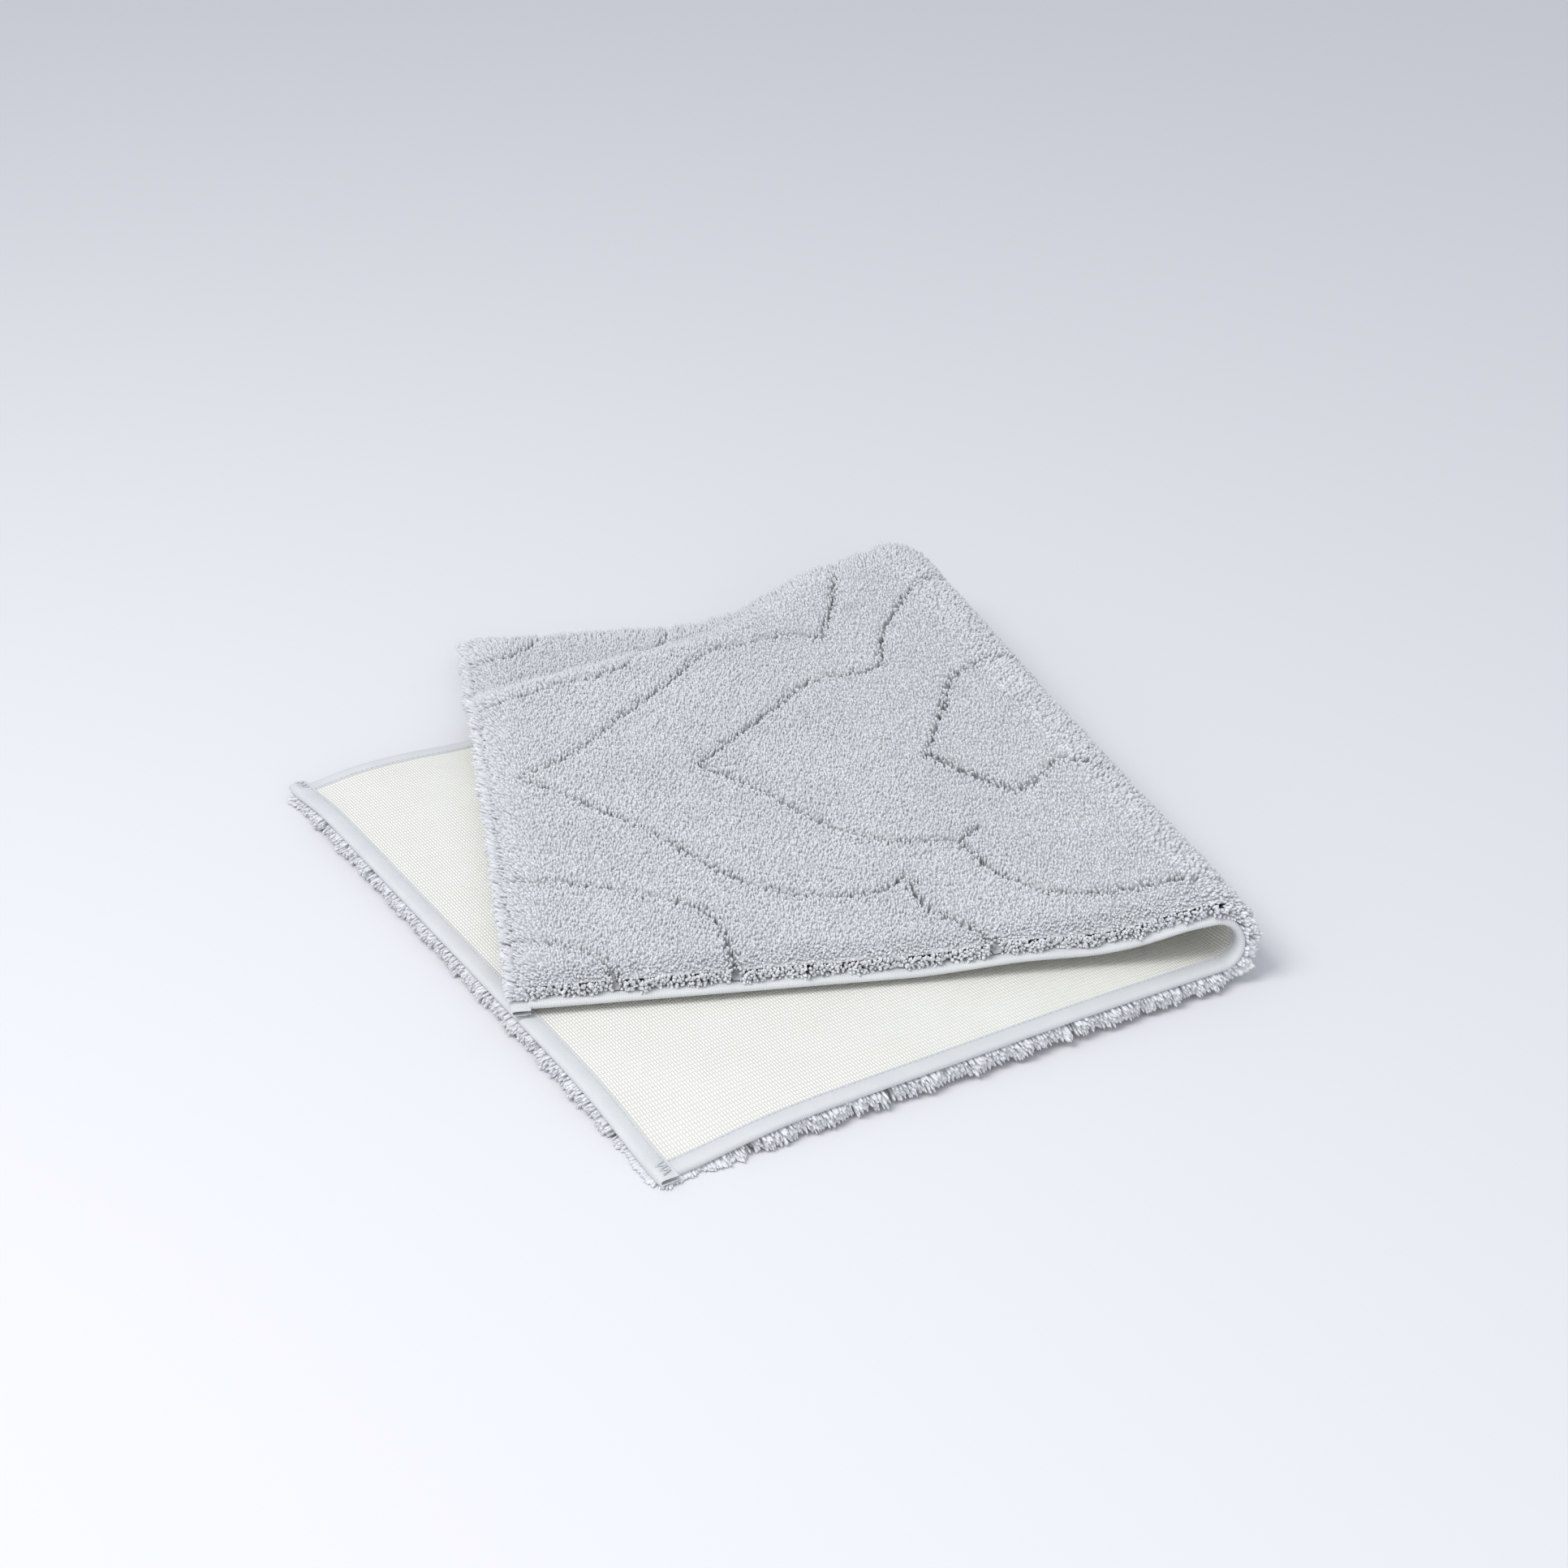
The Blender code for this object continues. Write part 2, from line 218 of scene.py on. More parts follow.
def folded(along, across):
    """The place in the room of points of the coated back, folded but not yet sagging."""
    place = on_band(0, along, across)
    for number in range(len(FOLD_LINES)):
        start, end = soft_range(number, across)
        share = ((along - start) / (end - start))[..., None]
        a = on_band(number, start + 0 * along, across)
        b = on_band(number, between(*FOLD_LINES[number], across) + 0 * along, across)
        c = on_band(number + 1, end + 0 * along, across)
        curve = (1 - share) ** 2 * a + 2 * share * (1 - share) * b + share**2 * c
        place = np.where(share > 0, curve, place)
        place = np.where(share > 1, on_band(number + 1, along, across), place)
    return place


def smooth(share):
    """Goes from 0 to 1 with no corner at either end."""
    share = np.clip(share, 0, 1)
    return share * share * (3 - 2 * share)


print("the upper half's far middle folds to", np.round(folded(np.array([LENGTH]), np.array([0.0]))[0], 3))

# %% [markdown]
# ## Sag
#
# Cloth isn't stiff. Where the upper half reaches past the back edge of the lower half, it droops nearly to
# the floor, and the lower half's corners and back edge lie in low waves. At the front the loop is tight and
# springs up a little. A simulation would lose the exact fold, so these few movements are smooth bumps.

# %% Sag of the loose parts
DROOP = 0.0155
DROOP_RUN = 0.045
BACK_PULL = 0.0045
FRONT_LIFT = 0.0052
# Low waves of the lower half: along, across, reach, lift.
WAVES = [
    (0.000, -0.254, 0.060, -0.0100),
    (0.290, -0.254, 0.090, 0.0015),
    (0.000, 0.254, 0.035, -0.0060),
    (0.064, 0.254, 0.030, -0.0005),
    (0.130, 0.254, 0.045, -0.0050),
]


def sag(place, along, across):
    """The folded cloth with its own weight on it."""
    rotation, shift = BANDS[0]
    beyond = ((place - shift) @ rotation)[..., 1] - WIDTH / 2
    loop_end = soft_range(3, across)[1] + 0.03
    landed = smooth((along - loop_end) / (soft_range(4, across)[0] - loop_end))
    drop = -DROOP * smooth((beyond - 0.002) / DROOP_RUN) * landed
    for wave_along, wave_across, reach, lift in WAVES:
        apart = (along - wave_along) ** 2 + (across - wave_across) ** 2
        drop = drop + lift * np.exp(-apart / reach**2)
    springy = smooth((along - 0.405) / 0.055) * (1 - smooth((along - 0.545) / 0.085))
    drop = drop + FRONT_LIFT * springy * np.exp(-(((across + WIDTH / 2) / 0.10) ** 2))
    toward_back = np.clip(across / WIDTH + 0.5, 0, 1.02)
    loop_middle = between(0.414, 0.515, across)
    pull = BACK_PULL * toward_back**2 * np.exp(-(((along - loop_middle) / 0.16) ** 2))
    return place + np.stack([pull, 0 * pull, drop], axis=-1)


def cloth_back(along, across):
    return sag(folded(along, across), along, across)


STEP = 0.0004


def fold_up(flat):
    """Folds points (along, across, depth) of the flat mat into the room."""
    along, across, depth = flat[:, 0], flat[:, 1], flat[:, 2]
    run = cloth_back(along + STEP, across) - cloth_back(along - STEP, across)
    side = cloth_back(along, across + STEP) - cloth_back(along, across - STEP)
    facing = np.cross(run, side)
    facing /= np.linalg.norm(facing, axis=1, keepdims=True)
    return cloth_back(along, across) - facing * depth[:, None]


print("its back corner sags to", np.round(fold_up(np.array([[LENGTH, WIDTH / 2, 0.0]]))[0], 3))

# %% [markdown]
# ## Eight stretches
#
# Each stretch of the mat either lies on one rigid band or bends between two. A stretch on one band rides
# with that band's body. A bending stretch is baked in place, folded, and follows no body.

# %% The stretches and how they follow the frame
STRETCHES = [
    ("lower", 0, "lower"),
    ("turn_1", None, "fold_1"),
    ("turn_2", None, "fold_2"),
    ("turn_3", None, "fold_3"),
    ("turn_4", None, None),
    ("slope", 4, "slope"),
    ("landing", None, None),
    ("upper", 5, "upper"),
]
TURN_OF = {"turn_1": 0, "turn_2": 1, "turn_3": 2, "turn_4": 3, "landing": 4}


def stretch_ends(name, across):
    """Where a stretch starts and ends along the mat, at these places across."""
    if name in TURN_OF:
        return soft_range(TURN_OF[name], across)
    if name == "lower":
        return 0 * across, soft_range(0, across)[0]
    if name == "slope":
        return soft_range(3, across)[1], soft_range(4, across)[0]
    return soft_range(4, across)[1], LENGTH + 0 * across


def follow_frame(piece, name):
    """Makes a finished piece of a stretch on one band move with that band's body; a bending stretch's piece
    is baked in place.
    """
    band = dict((stretch, number) for stretch, number, _ in STRETCHES)[name]
    if band is not None:
        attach(piece, BODIES[band])
        return
    number = TURN_OF[name]
    rotation, shift = BANDS[number]
    after_rotation = BANDS[number + 1][0]
    direction = line_direction(number)
    forward = np.array([direction[1], -direction[0], 0])
    way = rotation @ forward + after_rotation @ forward
    way /= np.linalg.norm(way)
    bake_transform(piece)


print("stretches:", [name for name, _, _ in STRETCHES])

# %% [markdown]
# ## Finishes
#
# Each material reads the attribute "flat", the place on the flat mat, so a weave keeps its size and
# direction where the cloth bends. Small height differences (weave, ribs, fibres) are bump, and the colour
# changes a little from tuft to tuft.

# %% Helpers for materials


def new_finish(name, roughness, sheen):
    made = bpy.data.materials.new(name)
    made.use_nodes = True
    shader = made.node_tree.nodes["Principled BSDF"]
    shader.inputs["Roughness"].default_value = roughness
    shader.inputs["Sheen Weight"].default_value = sheen
    shader.inputs["Sheen Roughness"].default_value = 0.5
    shader.inputs["Specular IOR Level"].default_value = 0.25
    return made, made.node_tree, shader


def attribute_node(tree, name):
    node = tree.nodes.new("ShaderNodeAttribute")
    node.attribute_name = name
    return node


def noise_node(tree, vector, scale, detail=2.0):
    node = tree.nodes.new("ShaderNodeTexNoise")
    node.inputs["Scale"].default_value = scale
    node.inputs["Detail"].default_value = detail
    tree.links.new(vector, node.inputs["Vector"])
    return node.outputs["Fac"]


def ramp_node(tree, value, colours):
    """A colour ramp from (position, colour) pairs."""
    node = tree.nodes.new("ShaderNodeValToRGB")
    while len(node.color_ramp.elements) < len(colours):
        node.color_ramp.elements.new(0.5)
    for element, (position, colour) in zip(node.color_ramp.elements, colours):
        element.position = position
        element.color = (*colour, 1)
    tree.links.new(value, node.inputs["Fac"])
    return node.outputs["Color"]


def multiply_node(tree, first, second):
    node = tree.nodes.new("ShaderNodeMix")
    node.data_type = "RGBA"
    node.blend_type = "MULTIPLY"
    node.inputs[0].default_value = 1.0
    tree.links.new(first, node.inputs[6])
    tree.links.new(second, node.inputs[7])
    return node.outputs[2]


def bump_node(tree, shader, height, strength, distance, before=None):
    node = tree.nodes.new("ShaderNodeBump")
    node.inputs["Strength"].default_value = strength
    node.inputs["Distance"].default_value = distance
    tree.links.new(height, node.inputs["Height"])
    if before is not None:
        tree.links.new(before, node.inputs["Normal"])
    tree.links.new(node.outputs["Normal"], shader.inputs["Normal"])
    return node.outputs["Normal"]


print("helpers for attributes, noise, ramps, mixing and bump are ready")

# %% [markdown]
# ## The coated cloth's finish
#
# The mat's back is a scrim: short flat floats of yarn in rows, each row shifted, under a thin coat of
# off-white rubber. A brick pattern has just that layout. Its mortar, the gap between floats, is darker,
# and turned upside down it also gives the bump. A coat is matt, with hardly any sheen.

# %% Coated woven cloth
WEAVE_ROW = 0.0019
WEAVE_CELL = 0.0036


def coated_cloth():
    """A scrim of short floats in staggered rows under a thin off-white coat."""
    made, tree, shader = new_finish("coated_cloth", 0.62, 0.05)
    flat = attribute_node(tree, "flat").outputs["Vector"]
    turned = tree.nodes.new("ShaderNodeMapping")
    turned.inputs["Rotation"].default_value = (0, 0, math.pi / 2)
    tree.links.new(flat, turned.inputs["Vector"])
    rows = tree.nodes.new("ShaderNodeTexBrick")
    rows.offset = 0.38
    rows.offset_frequency = 1
    rows.squash = 1.0
    rows.inputs["Scale"].default_value = 1.0
    rows.inputs["Brick Width"].default_value = WEAVE_CELL
    rows.inputs["Row Height"].default_value = WEAVE_ROW
    rows.inputs["Mortar Size"].default_value = WEAVE_ROW * 0.30
    rows.inputs["Mortar Smooth"].default_value = 1.0
    rows.inputs["Bias"].default_value = 0.0
    rows.inputs["Color1"].default_value = (0.845, 0.835, 0.785, 1)
    rows.inputs["Color2"].default_value = (0.860, 0.855, 0.805, 1)
    rows.inputs["Mortar"].default_value = (0.735, 0.725, 0.655, 1)
    tree.links.new(turned.outputs["Vector"], rows.inputs["Vector"])
    stains = noise_node(tree, flat, 26.0, 3.0)
    blotches = ramp_node(tree, stains, [(0.3, (0.965, 0.965, 0.955)), (0.7, (1, 1, 1))])
    tree.links.new(multiply_node(tree, rows.outputs["Color"], blotches), shader.inputs["Base Color"])
    upside_down = tree.nodes.new("ShaderNodeMath")
    upside_down.operation = "SUBTRACT"
    upside_down.inputs[0].default_value = 1.0
    tree.links.new(rows.outputs["Fac"], upside_down.inputs[1])
    bump_node(tree, shader, upside_down.outputs["Value"], 0.8, 0.00050)
    return made


CLOTH = coated_cloth()
print("cloth finish:", len(CLOTH.node_tree.nodes), "nodes")

# %% [markdown]
# ## Tape, thread and yarn
#
# Binding tape has fine ribs across it, about one a millimetre, which a band pattern makes along the
# tape's own run, with painted shade darkening the troughs between them. Thread is a little darker. Yarn
# is the main finish: its colour is painted dark near the root, as shade where little light comes, and pale
# at the tip. Each tuft has its own tone, and wide faint patches lie over them all.

# %% Ribbed tape
RIB_PITCH = 0.0011


def ribbed_tape():
    """Grosgrain: fine ribs across the tape, with painted shade in their troughs and the weave's grain between
    them.
    """
    made, tree, shader = new_finish("ribbed_tape", 0.55, 0.15)
    run = attribute_node(tree, "run").outputs["Vector"]
    ribs = tree.nodes.new("ShaderNodeTexWave")
    ribs.wave_type = "BANDS"
    ribs.bands_direction = "X"
    ribs.inputs["Scale"].default_value = math.tau / (20 * RIB_PITCH)
    ribs.inputs["Distortion"].default_value = 0.4
    tree.links.new(run, ribs.inputs["Vector"])
    # Painted shade: the colour follows the rib bands, darker where the bump is low, as shade in the troughs.
    tone = ramp_node(tree, ribs.outputs["Fac"], [(0.0, (0.585, 0.60, 0.605)), (1.0, (0.68, 0.695, 0.695))])
    wear = ramp_node(tree, noise_node(tree, run, 45.0, 3.0), [(0.3, (0.94, 0.94, 0.95)), (0.7, (1, 1, 1))])
    tree.links.new(multiply_node(tree, tone, wear), shader.inputs["Base Color"])
    grain = noise_node(tree, run, 2400.0)
    first = bump_node(tree, shader, ribs.outputs["Fac"], 0.55, 0.00030)
    bump_node(tree, shader, grain, 0.25, 0.00015, first)
    return made


TAPE = ribbed_tape()
print("ribs on the long tape:", round(LENGTH / RIB_PITCH))

# %% Thread


def spun_thread():
    """Plied thread: its strands show as a fine mottled tone."""
    made, tree, shader = new_finish("spun_thread", 0.6, 0.1)
    flat = attribute_node(tree, "flat").outputs["Vector"]
    strands = noise_node(tree, flat, 900.0)
    tone = ramp_node(tree, strands, [(0.3, (0.46, 0.48, 0.49)), (0.7, (0.60, 0.62, 0.63))])
    tree.links.new(tone, shader.inputs["Base Color"])
    bump_node(tree, shader, noise_node(tree, flat, 3000.0), 0.4, 0.0002)
    return made


THREAD = spun_thread()
print("thread finish:", len(THREAD.node_tree.nodes), "nodes")

# %% Yarn


def soft_yarn():
    """Cut microfibre yarn: each tuft its own tone, painted darker towards its root as shade, with fine
    fibres.
    """
    made, tree, shader = new_finish("soft_yarn", 0.95, 0.35)
    flat = attribute_node(tree, "flat").outputs["Vector"]
    height = attribute_node(tree, "rise").outputs["Fac"]
    tone = attribute_node(tree, "tone").outputs["Fac"]
    # Painted shade: the colour is darker towards the root, as shade deep in the pile, and pale at the tip.
    rooted = ramp_node(
        tree, height, [(0.25, (0.42, 0.43, 0.435)), (0.80, (0.64, 0.65, 0.66)), (1.0, (0.81, 0.82, 0.83))]
    )
    varied = ramp_node(tree, tone, [(0.0, (0.82, 0.82, 0.825)), (1.0, (1, 1, 1))])
    patchy = noise_node(tree, flat, 14.0, 2.0)
    patches = ramp_node(tree, patchy, [(0.3, (0.95, 0.955, 0.96)), (0.7, (1, 1, 1))])
    colour = multiply_node(tree, multiply_node(tree, rooted, varied), patches)
    tree.links.new(colour, shader.inputs["Base Color"])
    bump_node(tree, shader, noise_node(tree, flat, 1500.0, 3.0), 0.5, 0.0004)
    return made


YARN = soft_yarn()
print("finishes:", [m.name for m in (CLOTH, TAPE, THREAD, YARN)])

# %% [markdown]
# ## From two grids to a closed cloth
#
# Cloth and tape are both thin. Each is made as two grids of points, its outer and its inner face, joined
# round the rim, so that the mesh is closed. If the faces come out pointing inwards, all are turned round.

# %% Closed sheets


def store(mesh, name, values, kind):
    attribute = mesh.attributes.new(name, kind, "POINT")
    field = "vector" if kind == "FLOAT_VECTOR" else "value"
    attribute.data.foreach_set(field, values.astype(np.float32).ravel())


def closed_sheet(name, outer, inner, finish, run=None):
    """A closed piece from two grids (rows, columns, 3) of flat places, folded up."""
    rows, columns = outer.shape[:2]
    count = rows * columns
    index = np.arange(count).reshape(rows, columns)
    quads = np.stack([index[:-1, :-1], index[1:, :-1], index[1:, 1:], index[:-1, 1:]], axis=-1).reshape(-1, 4)
    rim = np.concatenate([index[:, 0], index[-1, 1:], index[-2::-1, -1], index[0, -2:0:-1]])
    following = np.roll(rim, -1)
    walls = np.stack([rim, rim + count, following + count, following], axis=-1)
    faces = np.concatenate([quads, quads[:, ::-1] + count, walls])
    flat = np.concatenate([outer.reshape(-1, 3), inner.reshape(-1, 3)])
    places = fold_up(flat)
    a, b, c, d = (places[faces[:, corner]] - places.mean(axis=0) for corner in range(4))
    volume = (np.cross(a, b) * c).sum() + (np.cross(a, c) * d).sum()
    if volume < 0:
        faces = faces[:, ::-1]
    mesh = bpy.data.meshes.new(name)
    mesh.from_pydata(places.tolist(), [], faces.tolist())
    store(mesh, "flat", flat, "FLOAT_VECTOR")
    if run is not None:
        store(mesh, "run", np.concatenate([run.reshape(-1, 3)] * 2), "FLOAT_VECTOR")
    mesh.materials.append(finish)
    mesh.shade_smooth()
    mesh.set_sharp_from_angle(angle=math.radians(50))
    piece = bpy.data.objects.new(name, mesh)
    bpy.context.scene.collection.objects.link(piece)
    return piece


def stretch_grid(name, across, step):
    """(along, across) grids over a stretch at these places across, with steps along it of step or less."""
    start, end = stretch_ends(name, across)
    columns = max(3, math.ceil(float(np.max(end - start)) / step) + 1)
    share = np.linspace(0, 1, columns)[:, None]
    along = start + (end - start) * share
    return along, np.broadcast_to(across, along.shape)


print("points at 1 cm along the lower half:", stretch_grid("lower", np.zeros(1), 0.01)[0].size)

# %% [markdown]
# ## The coated cloth
#
# The mat's inner face when it is folded: a woven cloth with a rubbery coat. Each stretch is one closed
# sheet, 2.3 mm thick with the ground cloth that the tufts are punched through.

# %% Coated cloth, stretch by stretch
CLOTH_GRID = 0.006


def make_cloth(name):
    across = np.linspace(-WIDTH / 2, WIDTH / 2, round(WIDTH / CLOTH_GRID) + 1)
    step = 0.003 if name in TURN_OF else CLOTH_GRID
    along, across_grid = stretch_grid(name, across, step)
    outer = np.stack([along, across_grid, np.zeros_like(along)], axis=-1)
    inner = outer.copy()
    inner[..., 2] = CLOTH_DEPTH
    return closed_sheet(name + "_coated_cloth", outer, inner, CLOTH)


cloths = {name: make_cloth(name) for name, _, _ in STRETCHES}
print("cloth pieces:", len(cloths))

# %% [markdown]
# ## The tape
#
# A ribbed tape is folded round every edge and sewn through. Its inner face is a soft roll: it swells over
# the cloth's cut edge and dips at the stitches. The profile below is that roll in millimetres, as distance
# in from the edge and lift above the coated back. As many points lie on the tape's hidden side.

# %% Tape profile
TAPE_OUTSIDE = [
    (11.0, 0.40), (10.2, 0.50), (9.4, 0.30), (8.4, 0.60), (6.4, 0.95), (4.0, 1.05), (1.8, 0.90), (0.3, 0.35),
    (-0.8, -0.60), (-1.1, -1.90), (-0.7, -3.20), (0.7, -4.00), (4.0, -4.10), (8.0, -3.80), (11.0, -3.30),
]
TAPE_INSIDE = [
    (11.0, 0.02), (10.2, 0.02), (9.4, 0.02), (8.4, 0.08), (6.4, 0.30), (4.0, 0.40), (2.2, 0.30), (0.9, 0.02),
    (0.1, -0.80), (0.0, -1.60), (0.3, -2.20), (1.3, -2.60), (4.0, -2.70), (8.0, -2.70), (11.0, -2.60),
]
MILLIMETRE = 0.001
TAPE_STEP = 0.005
SIDE_TAPE_GAP = 0.009
END_RUN = 0.164




def near_end(along):
    """Goes from 0 to 1 over the last stretch of the mat before its far short end."""
    return smooth((along - (LENGTH - END_RUN)) / END_RUN)


print("tape profile:", len(TAPE_OUTSIDE), "points on each face")

# %% Tape along the long edges


def side_tape(name, side):
    """The tape along the front edge (side -1) or the back edge (side 1) of a stretch."""
    faces = []
    for profile in (TAPE_OUTSIDE, TAPE_INSIDE):
        inset, lift = np.array(profile).T * MILLIMETRE
        across = side * (WIDTH / 2 - inset)
        along, across_grid = stretch_grid(name, across, TAPE_STEP if name not in TURN_OF else 0.0025)
        if name == "lower":
            along = along + SIDE_TAPE_GAP * (1 - along / along.max())
        if name == "upper":
            along = along - SIDE_TAPE_GAP * near_end(along)
        depth = np.broadcast_to(-lift, along.shape)
        faces.append(np.stack([along, across_grid, depth], axis=-1))
    run = faces[0]
    label = "front" if side < 0 else "back"
    return closed_sheet(f"{name}_{label}_tape_roll", faces[0], faces[1], TAPE, run)


# %% Tape across the short ends
END_OVERHANG = 0.0050
END_LIFT = 0.0006
END_SETBACK = 0.0008
CORNER_RISE = 0.0009
CORNER_RAMP = 0.004


def corner_rise(across):
    """How much higher the end tape lies where it crosses a side tape."""
    return CORNER_RISE * smooth((np.abs(across) - (WIDTH / 2 - TAPE_FACE - CORNER_RAMP)) / CORNER_RAMP)


def end_tape(name, edge, inward):
    """The tape across a short end. It runs over the side tapes and a little past them."""
    half = WIDTH / 2 + END_OVERHANG
    across = np.linspace(-half, half, round(2 * half / TAPE_STEP))
    past = smooth((np.abs(across) - WIDTH / 2) / END_OVERHANG)
    faces = []
    for profile in (TAPE_OUTSIDE, TAPE_INSIDE):
        inset, lift = np.array(profile).T * MILLIMETRE
        over = END_LIFT + corner_rise(across)[:, None] * np.where(lift > -0.0010, 1, -0.6)
        middle = -0.0012
        raised = middle + (lift + over - middle) * (1 - 0.45 * past[:, None])
        along = np.broadcast_to(edge + inward * (inset - END_SETBACK), raised.shape)
        across_grid = np.broadcast_to(across[:, None], raised.shape)
        faces.append(np.stack([along, across_grid, -raised], axis=-1))
    run = faces[0][..., [1, 0, 2]]
    return closed_sheet(name + "_end_tape_roll", faces[0], faces[1], TAPE, run)


tapes = {name: [side_tape(name, -1), side_tape(name, 1)] for name, _, _ in STRETCHES}
end_tapes = {"lower": end_tape("lower", 0.0, 1), "upper": end_tape("upper", LENGTH, -1)}
print("tape pieces:", sum(map(len, tapes.values())) + len(end_tapes))

# %% [markdown]
# ## Planting small shapes
#
# Stitches and tufts are the same job: hundreds or thousands of one small shape, each at a root and
# reaching to a tip. A Geometry Nodes tree does it. It takes a cloud of points, turns a shape along each
# point's "reach", stretches it to that length, and picks and spins it at random from a fixed seed.

# %% The tree's inputs
PLANTING = bpy.data.node_groups.new("plant_shapes", "GeometryNodeTree")
PLANTING_INPUTS = {
    "Geometry": "NodeSocketGeometry",
    "Shapes": "NodeSocketCollection",
    "Thickness": "NodeSocketFloat",
    "Spread": "NodeSocketFloat",
    "Spin": "NodeSocketFloat",
    "Seed": "NodeSocketInt",
    "Finish": "NodeSocketMaterial",
}
for label, kind in PLANTING_INPUTS.items():
    PLANTING.interface.new_socket(label, in_out="INPUT", socket_type=kind)
PLANTING.interface.new_socket("Geometry", in_out="OUTPUT", socket_type="NodeSocketGeometry")
new, link = PLANTING.nodes.new, PLANTING.links.new
given, result = new("NodeGroupInput"), new("NodeGroupOutput")
reach = new("GeometryNodeInputNamedAttribute")
reach.data_type = "FLOAT_VECTOR"
reach.inputs["Name"].default_value = "reach"
print("planting inputs:", list(PLANTING_INPUTS))

# %% How each shape is turned


def random_turn():
    """A rotation that aims a shape along its reach and spins it about itself."""
    aimed = new("FunctionNodeAlignRotationToVector")
    aimed.axis = "Z"
    link(reach.outputs["Attribute"], aimed.inputs["Vector"])
    spin = new("FunctionNodeRandomValue")
    spin.data_type = "FLOAT"
    link(given.outputs["Spin"], spin.inputs[3])
    link(given.outputs["Seed"], spin.inputs["Seed"])
    about_itself = new("ShaderNodeCombineXYZ")
    link(spin.outputs[1], about_itself.inputs["Z"])
    turned = new("FunctionNodeRotateRotation")
    turned.rotation_space = "LOCAL"
    link(aimed.outputs["Rotation"], turned.inputs["Rotation"])
    link(about_itself.outputs["Vector"], turned.inputs["Rotate By"])
    return turned.outputs["Rotation"]


turn = random_turn()
print("nodes so far:", len(PLANTING.nodes))

# %% How large each shape is


def random_size():
    """As long as the reach, and as thick as asked, give or take the spread."""
    length = new("ShaderNodeVectorMath")
    length.operation = "LENGTH"
    link(reach.outputs["Attribute"], length.inputs[0])
    thinnest, thickest = new("ShaderNodeMath"), new("ShaderNodeMath")
    thinnest.operation, thickest.operation = "SUBTRACT", "ADD"
    thickness = new("FunctionNodeRandomValue")
    thickness.data_type = "FLOAT"
    for bound, socket in ((thinnest, 2), (thickest, 3)):
        link(given.outputs["Thickness"], bound.inputs[0])
        link(given.outputs["Spread"], bound.inputs[1])
        link(bound.outputs["Value"], thickness.inputs[socket])
    next_seed = new("ShaderNodeMath")
    next_seed.inputs[1].default_value = 1
    link(given.outputs["Seed"], next_seed.inputs[0])
    link(next_seed.outputs["Value"], thickness.inputs["Seed"])
    size = new("ShaderNodeCombineXYZ")
    link(thickness.outputs[1], size.inputs["X"])
    link(thickness.outputs[1], size.inputs["Y"])
    link(length.outputs["Value"], size.inputs["Z"])
    return size.outputs["Vector"]


size = random_size()
print("nodes so far:", len(PLANTING.nodes))

# %% Planting, tone and finish


def planted_shapes():
    """One shape picked at random on each point."""
    shapes = new("GeometryNodeCollectionInfo")
    shapes.inputs["Separate Children"].default_value = True
    shapes.inputs["Reset Children"].default_value = True
    link(given.outputs["Shapes"], shapes.inputs["Collection"])
    planted = new("GeometryNodeInstanceOnPoints")
    planted.inputs["Pick Instance"].default_value = True
    link(given.outputs["Geometry"], planted.inputs["Points"])
    link(shapes.outputs["Instances"], planted.inputs["Instance"])
    link(turn, planted.inputs["Rotation"])
    link(size, planted.inputs["Scale"])
    return planted.outputs["Instances"]


def toned(instances):
    """Each shape carries one random tone for its colour."""
    tone = new("FunctionNodeRandomValue")
    tone.data_type = "FLOAT"
    kept = new("GeometryNodeStoreNamedAttribute")
    kept.data_type = "FLOAT"
    kept.domain = "INSTANCE"
    kept.inputs["Name"].default_value = "tone"
    link(instances, kept.inputs["Geometry"])
    link(tone.outputs[1], kept.inputs["Value"])
    return kept.outputs["Geometry"]


real = new("GeometryNodeRealizeInstances")
finished = new("GeometryNodeSetMaterial")
link(toned(planted_shapes()), real.inputs["Geometry"])
link(real.outputs["Geometry"], finished.inputs["Geometry"])
link(given.outputs["Finish"], finished.inputs["Material"])
link(finished.outputs["Geometry"], result.inputs["Geometry"])
print("planting tree:", len(PLANTING.nodes), "nodes")

# %% [markdown]
# ## From points to a plain mesh
#
# The shapes to plant are small closed solids of a few rings, one unit high. The tree runs on a cloud of
# points that lies flat, its result is taken as a plain mesh, and the cloud is thrown away. Only then is
# every point folded up, so a tuft bends with the mat it stands on.

# %% Planting points with it


def shape_collection(name, rings_list, sides, shade_rise_at_root=0.0):
    """A collection of closed unit shapes that stand on Z from 0 to 1. A ring is (height, radius, lean)."""
    collection = bpy.data.collections.new(name)
    for number, rings in enumerate(rings_list):
        solid = bmesh.new()
        circles = []
        for height, radius, lean in rings:
            turns = [math.tau * corner / sides for corner in range(sides)]
            places = [(lean + radius * math.cos(turn), radius * math.sin(turn), height) for turn in turns]
            circles.append([solid.verts.new(place) for place in places])
        for lower, upper in zip(circles, circles[1:]):
            for corner in range(sides):
                after = (corner + 1) % sides
                solid.faces.new((lower[corner], lower[after], upper[after], upper[corner]))
        solid.faces.new(circles[0][::-1])
        tip = solid.verts.new((rings[-1][2], 0, 1))
        for corner in range(sides):
            solid.faces.new((circles[-1][corner], circles[-1][(corner + 1) % sides], tip))
        mesh = bpy.data.meshes.new(f"{name}_{number}")
        solid.to_mesh(mesh)
        solid.free()
        mesh.shade_smooth()
        heights = np.array([vertex.co.z for vertex in mesh.vertices])
        # Painted shade: the yarn colours each shape darker where this value is low, towards its root.
        store(mesh, "rise", shade_rise_at_root + (1 - shade_rise_at_root) * heights, "FLOAT")
        collection.objects.link(bpy.data.objects.new(mesh.name, mesh))
    return collection


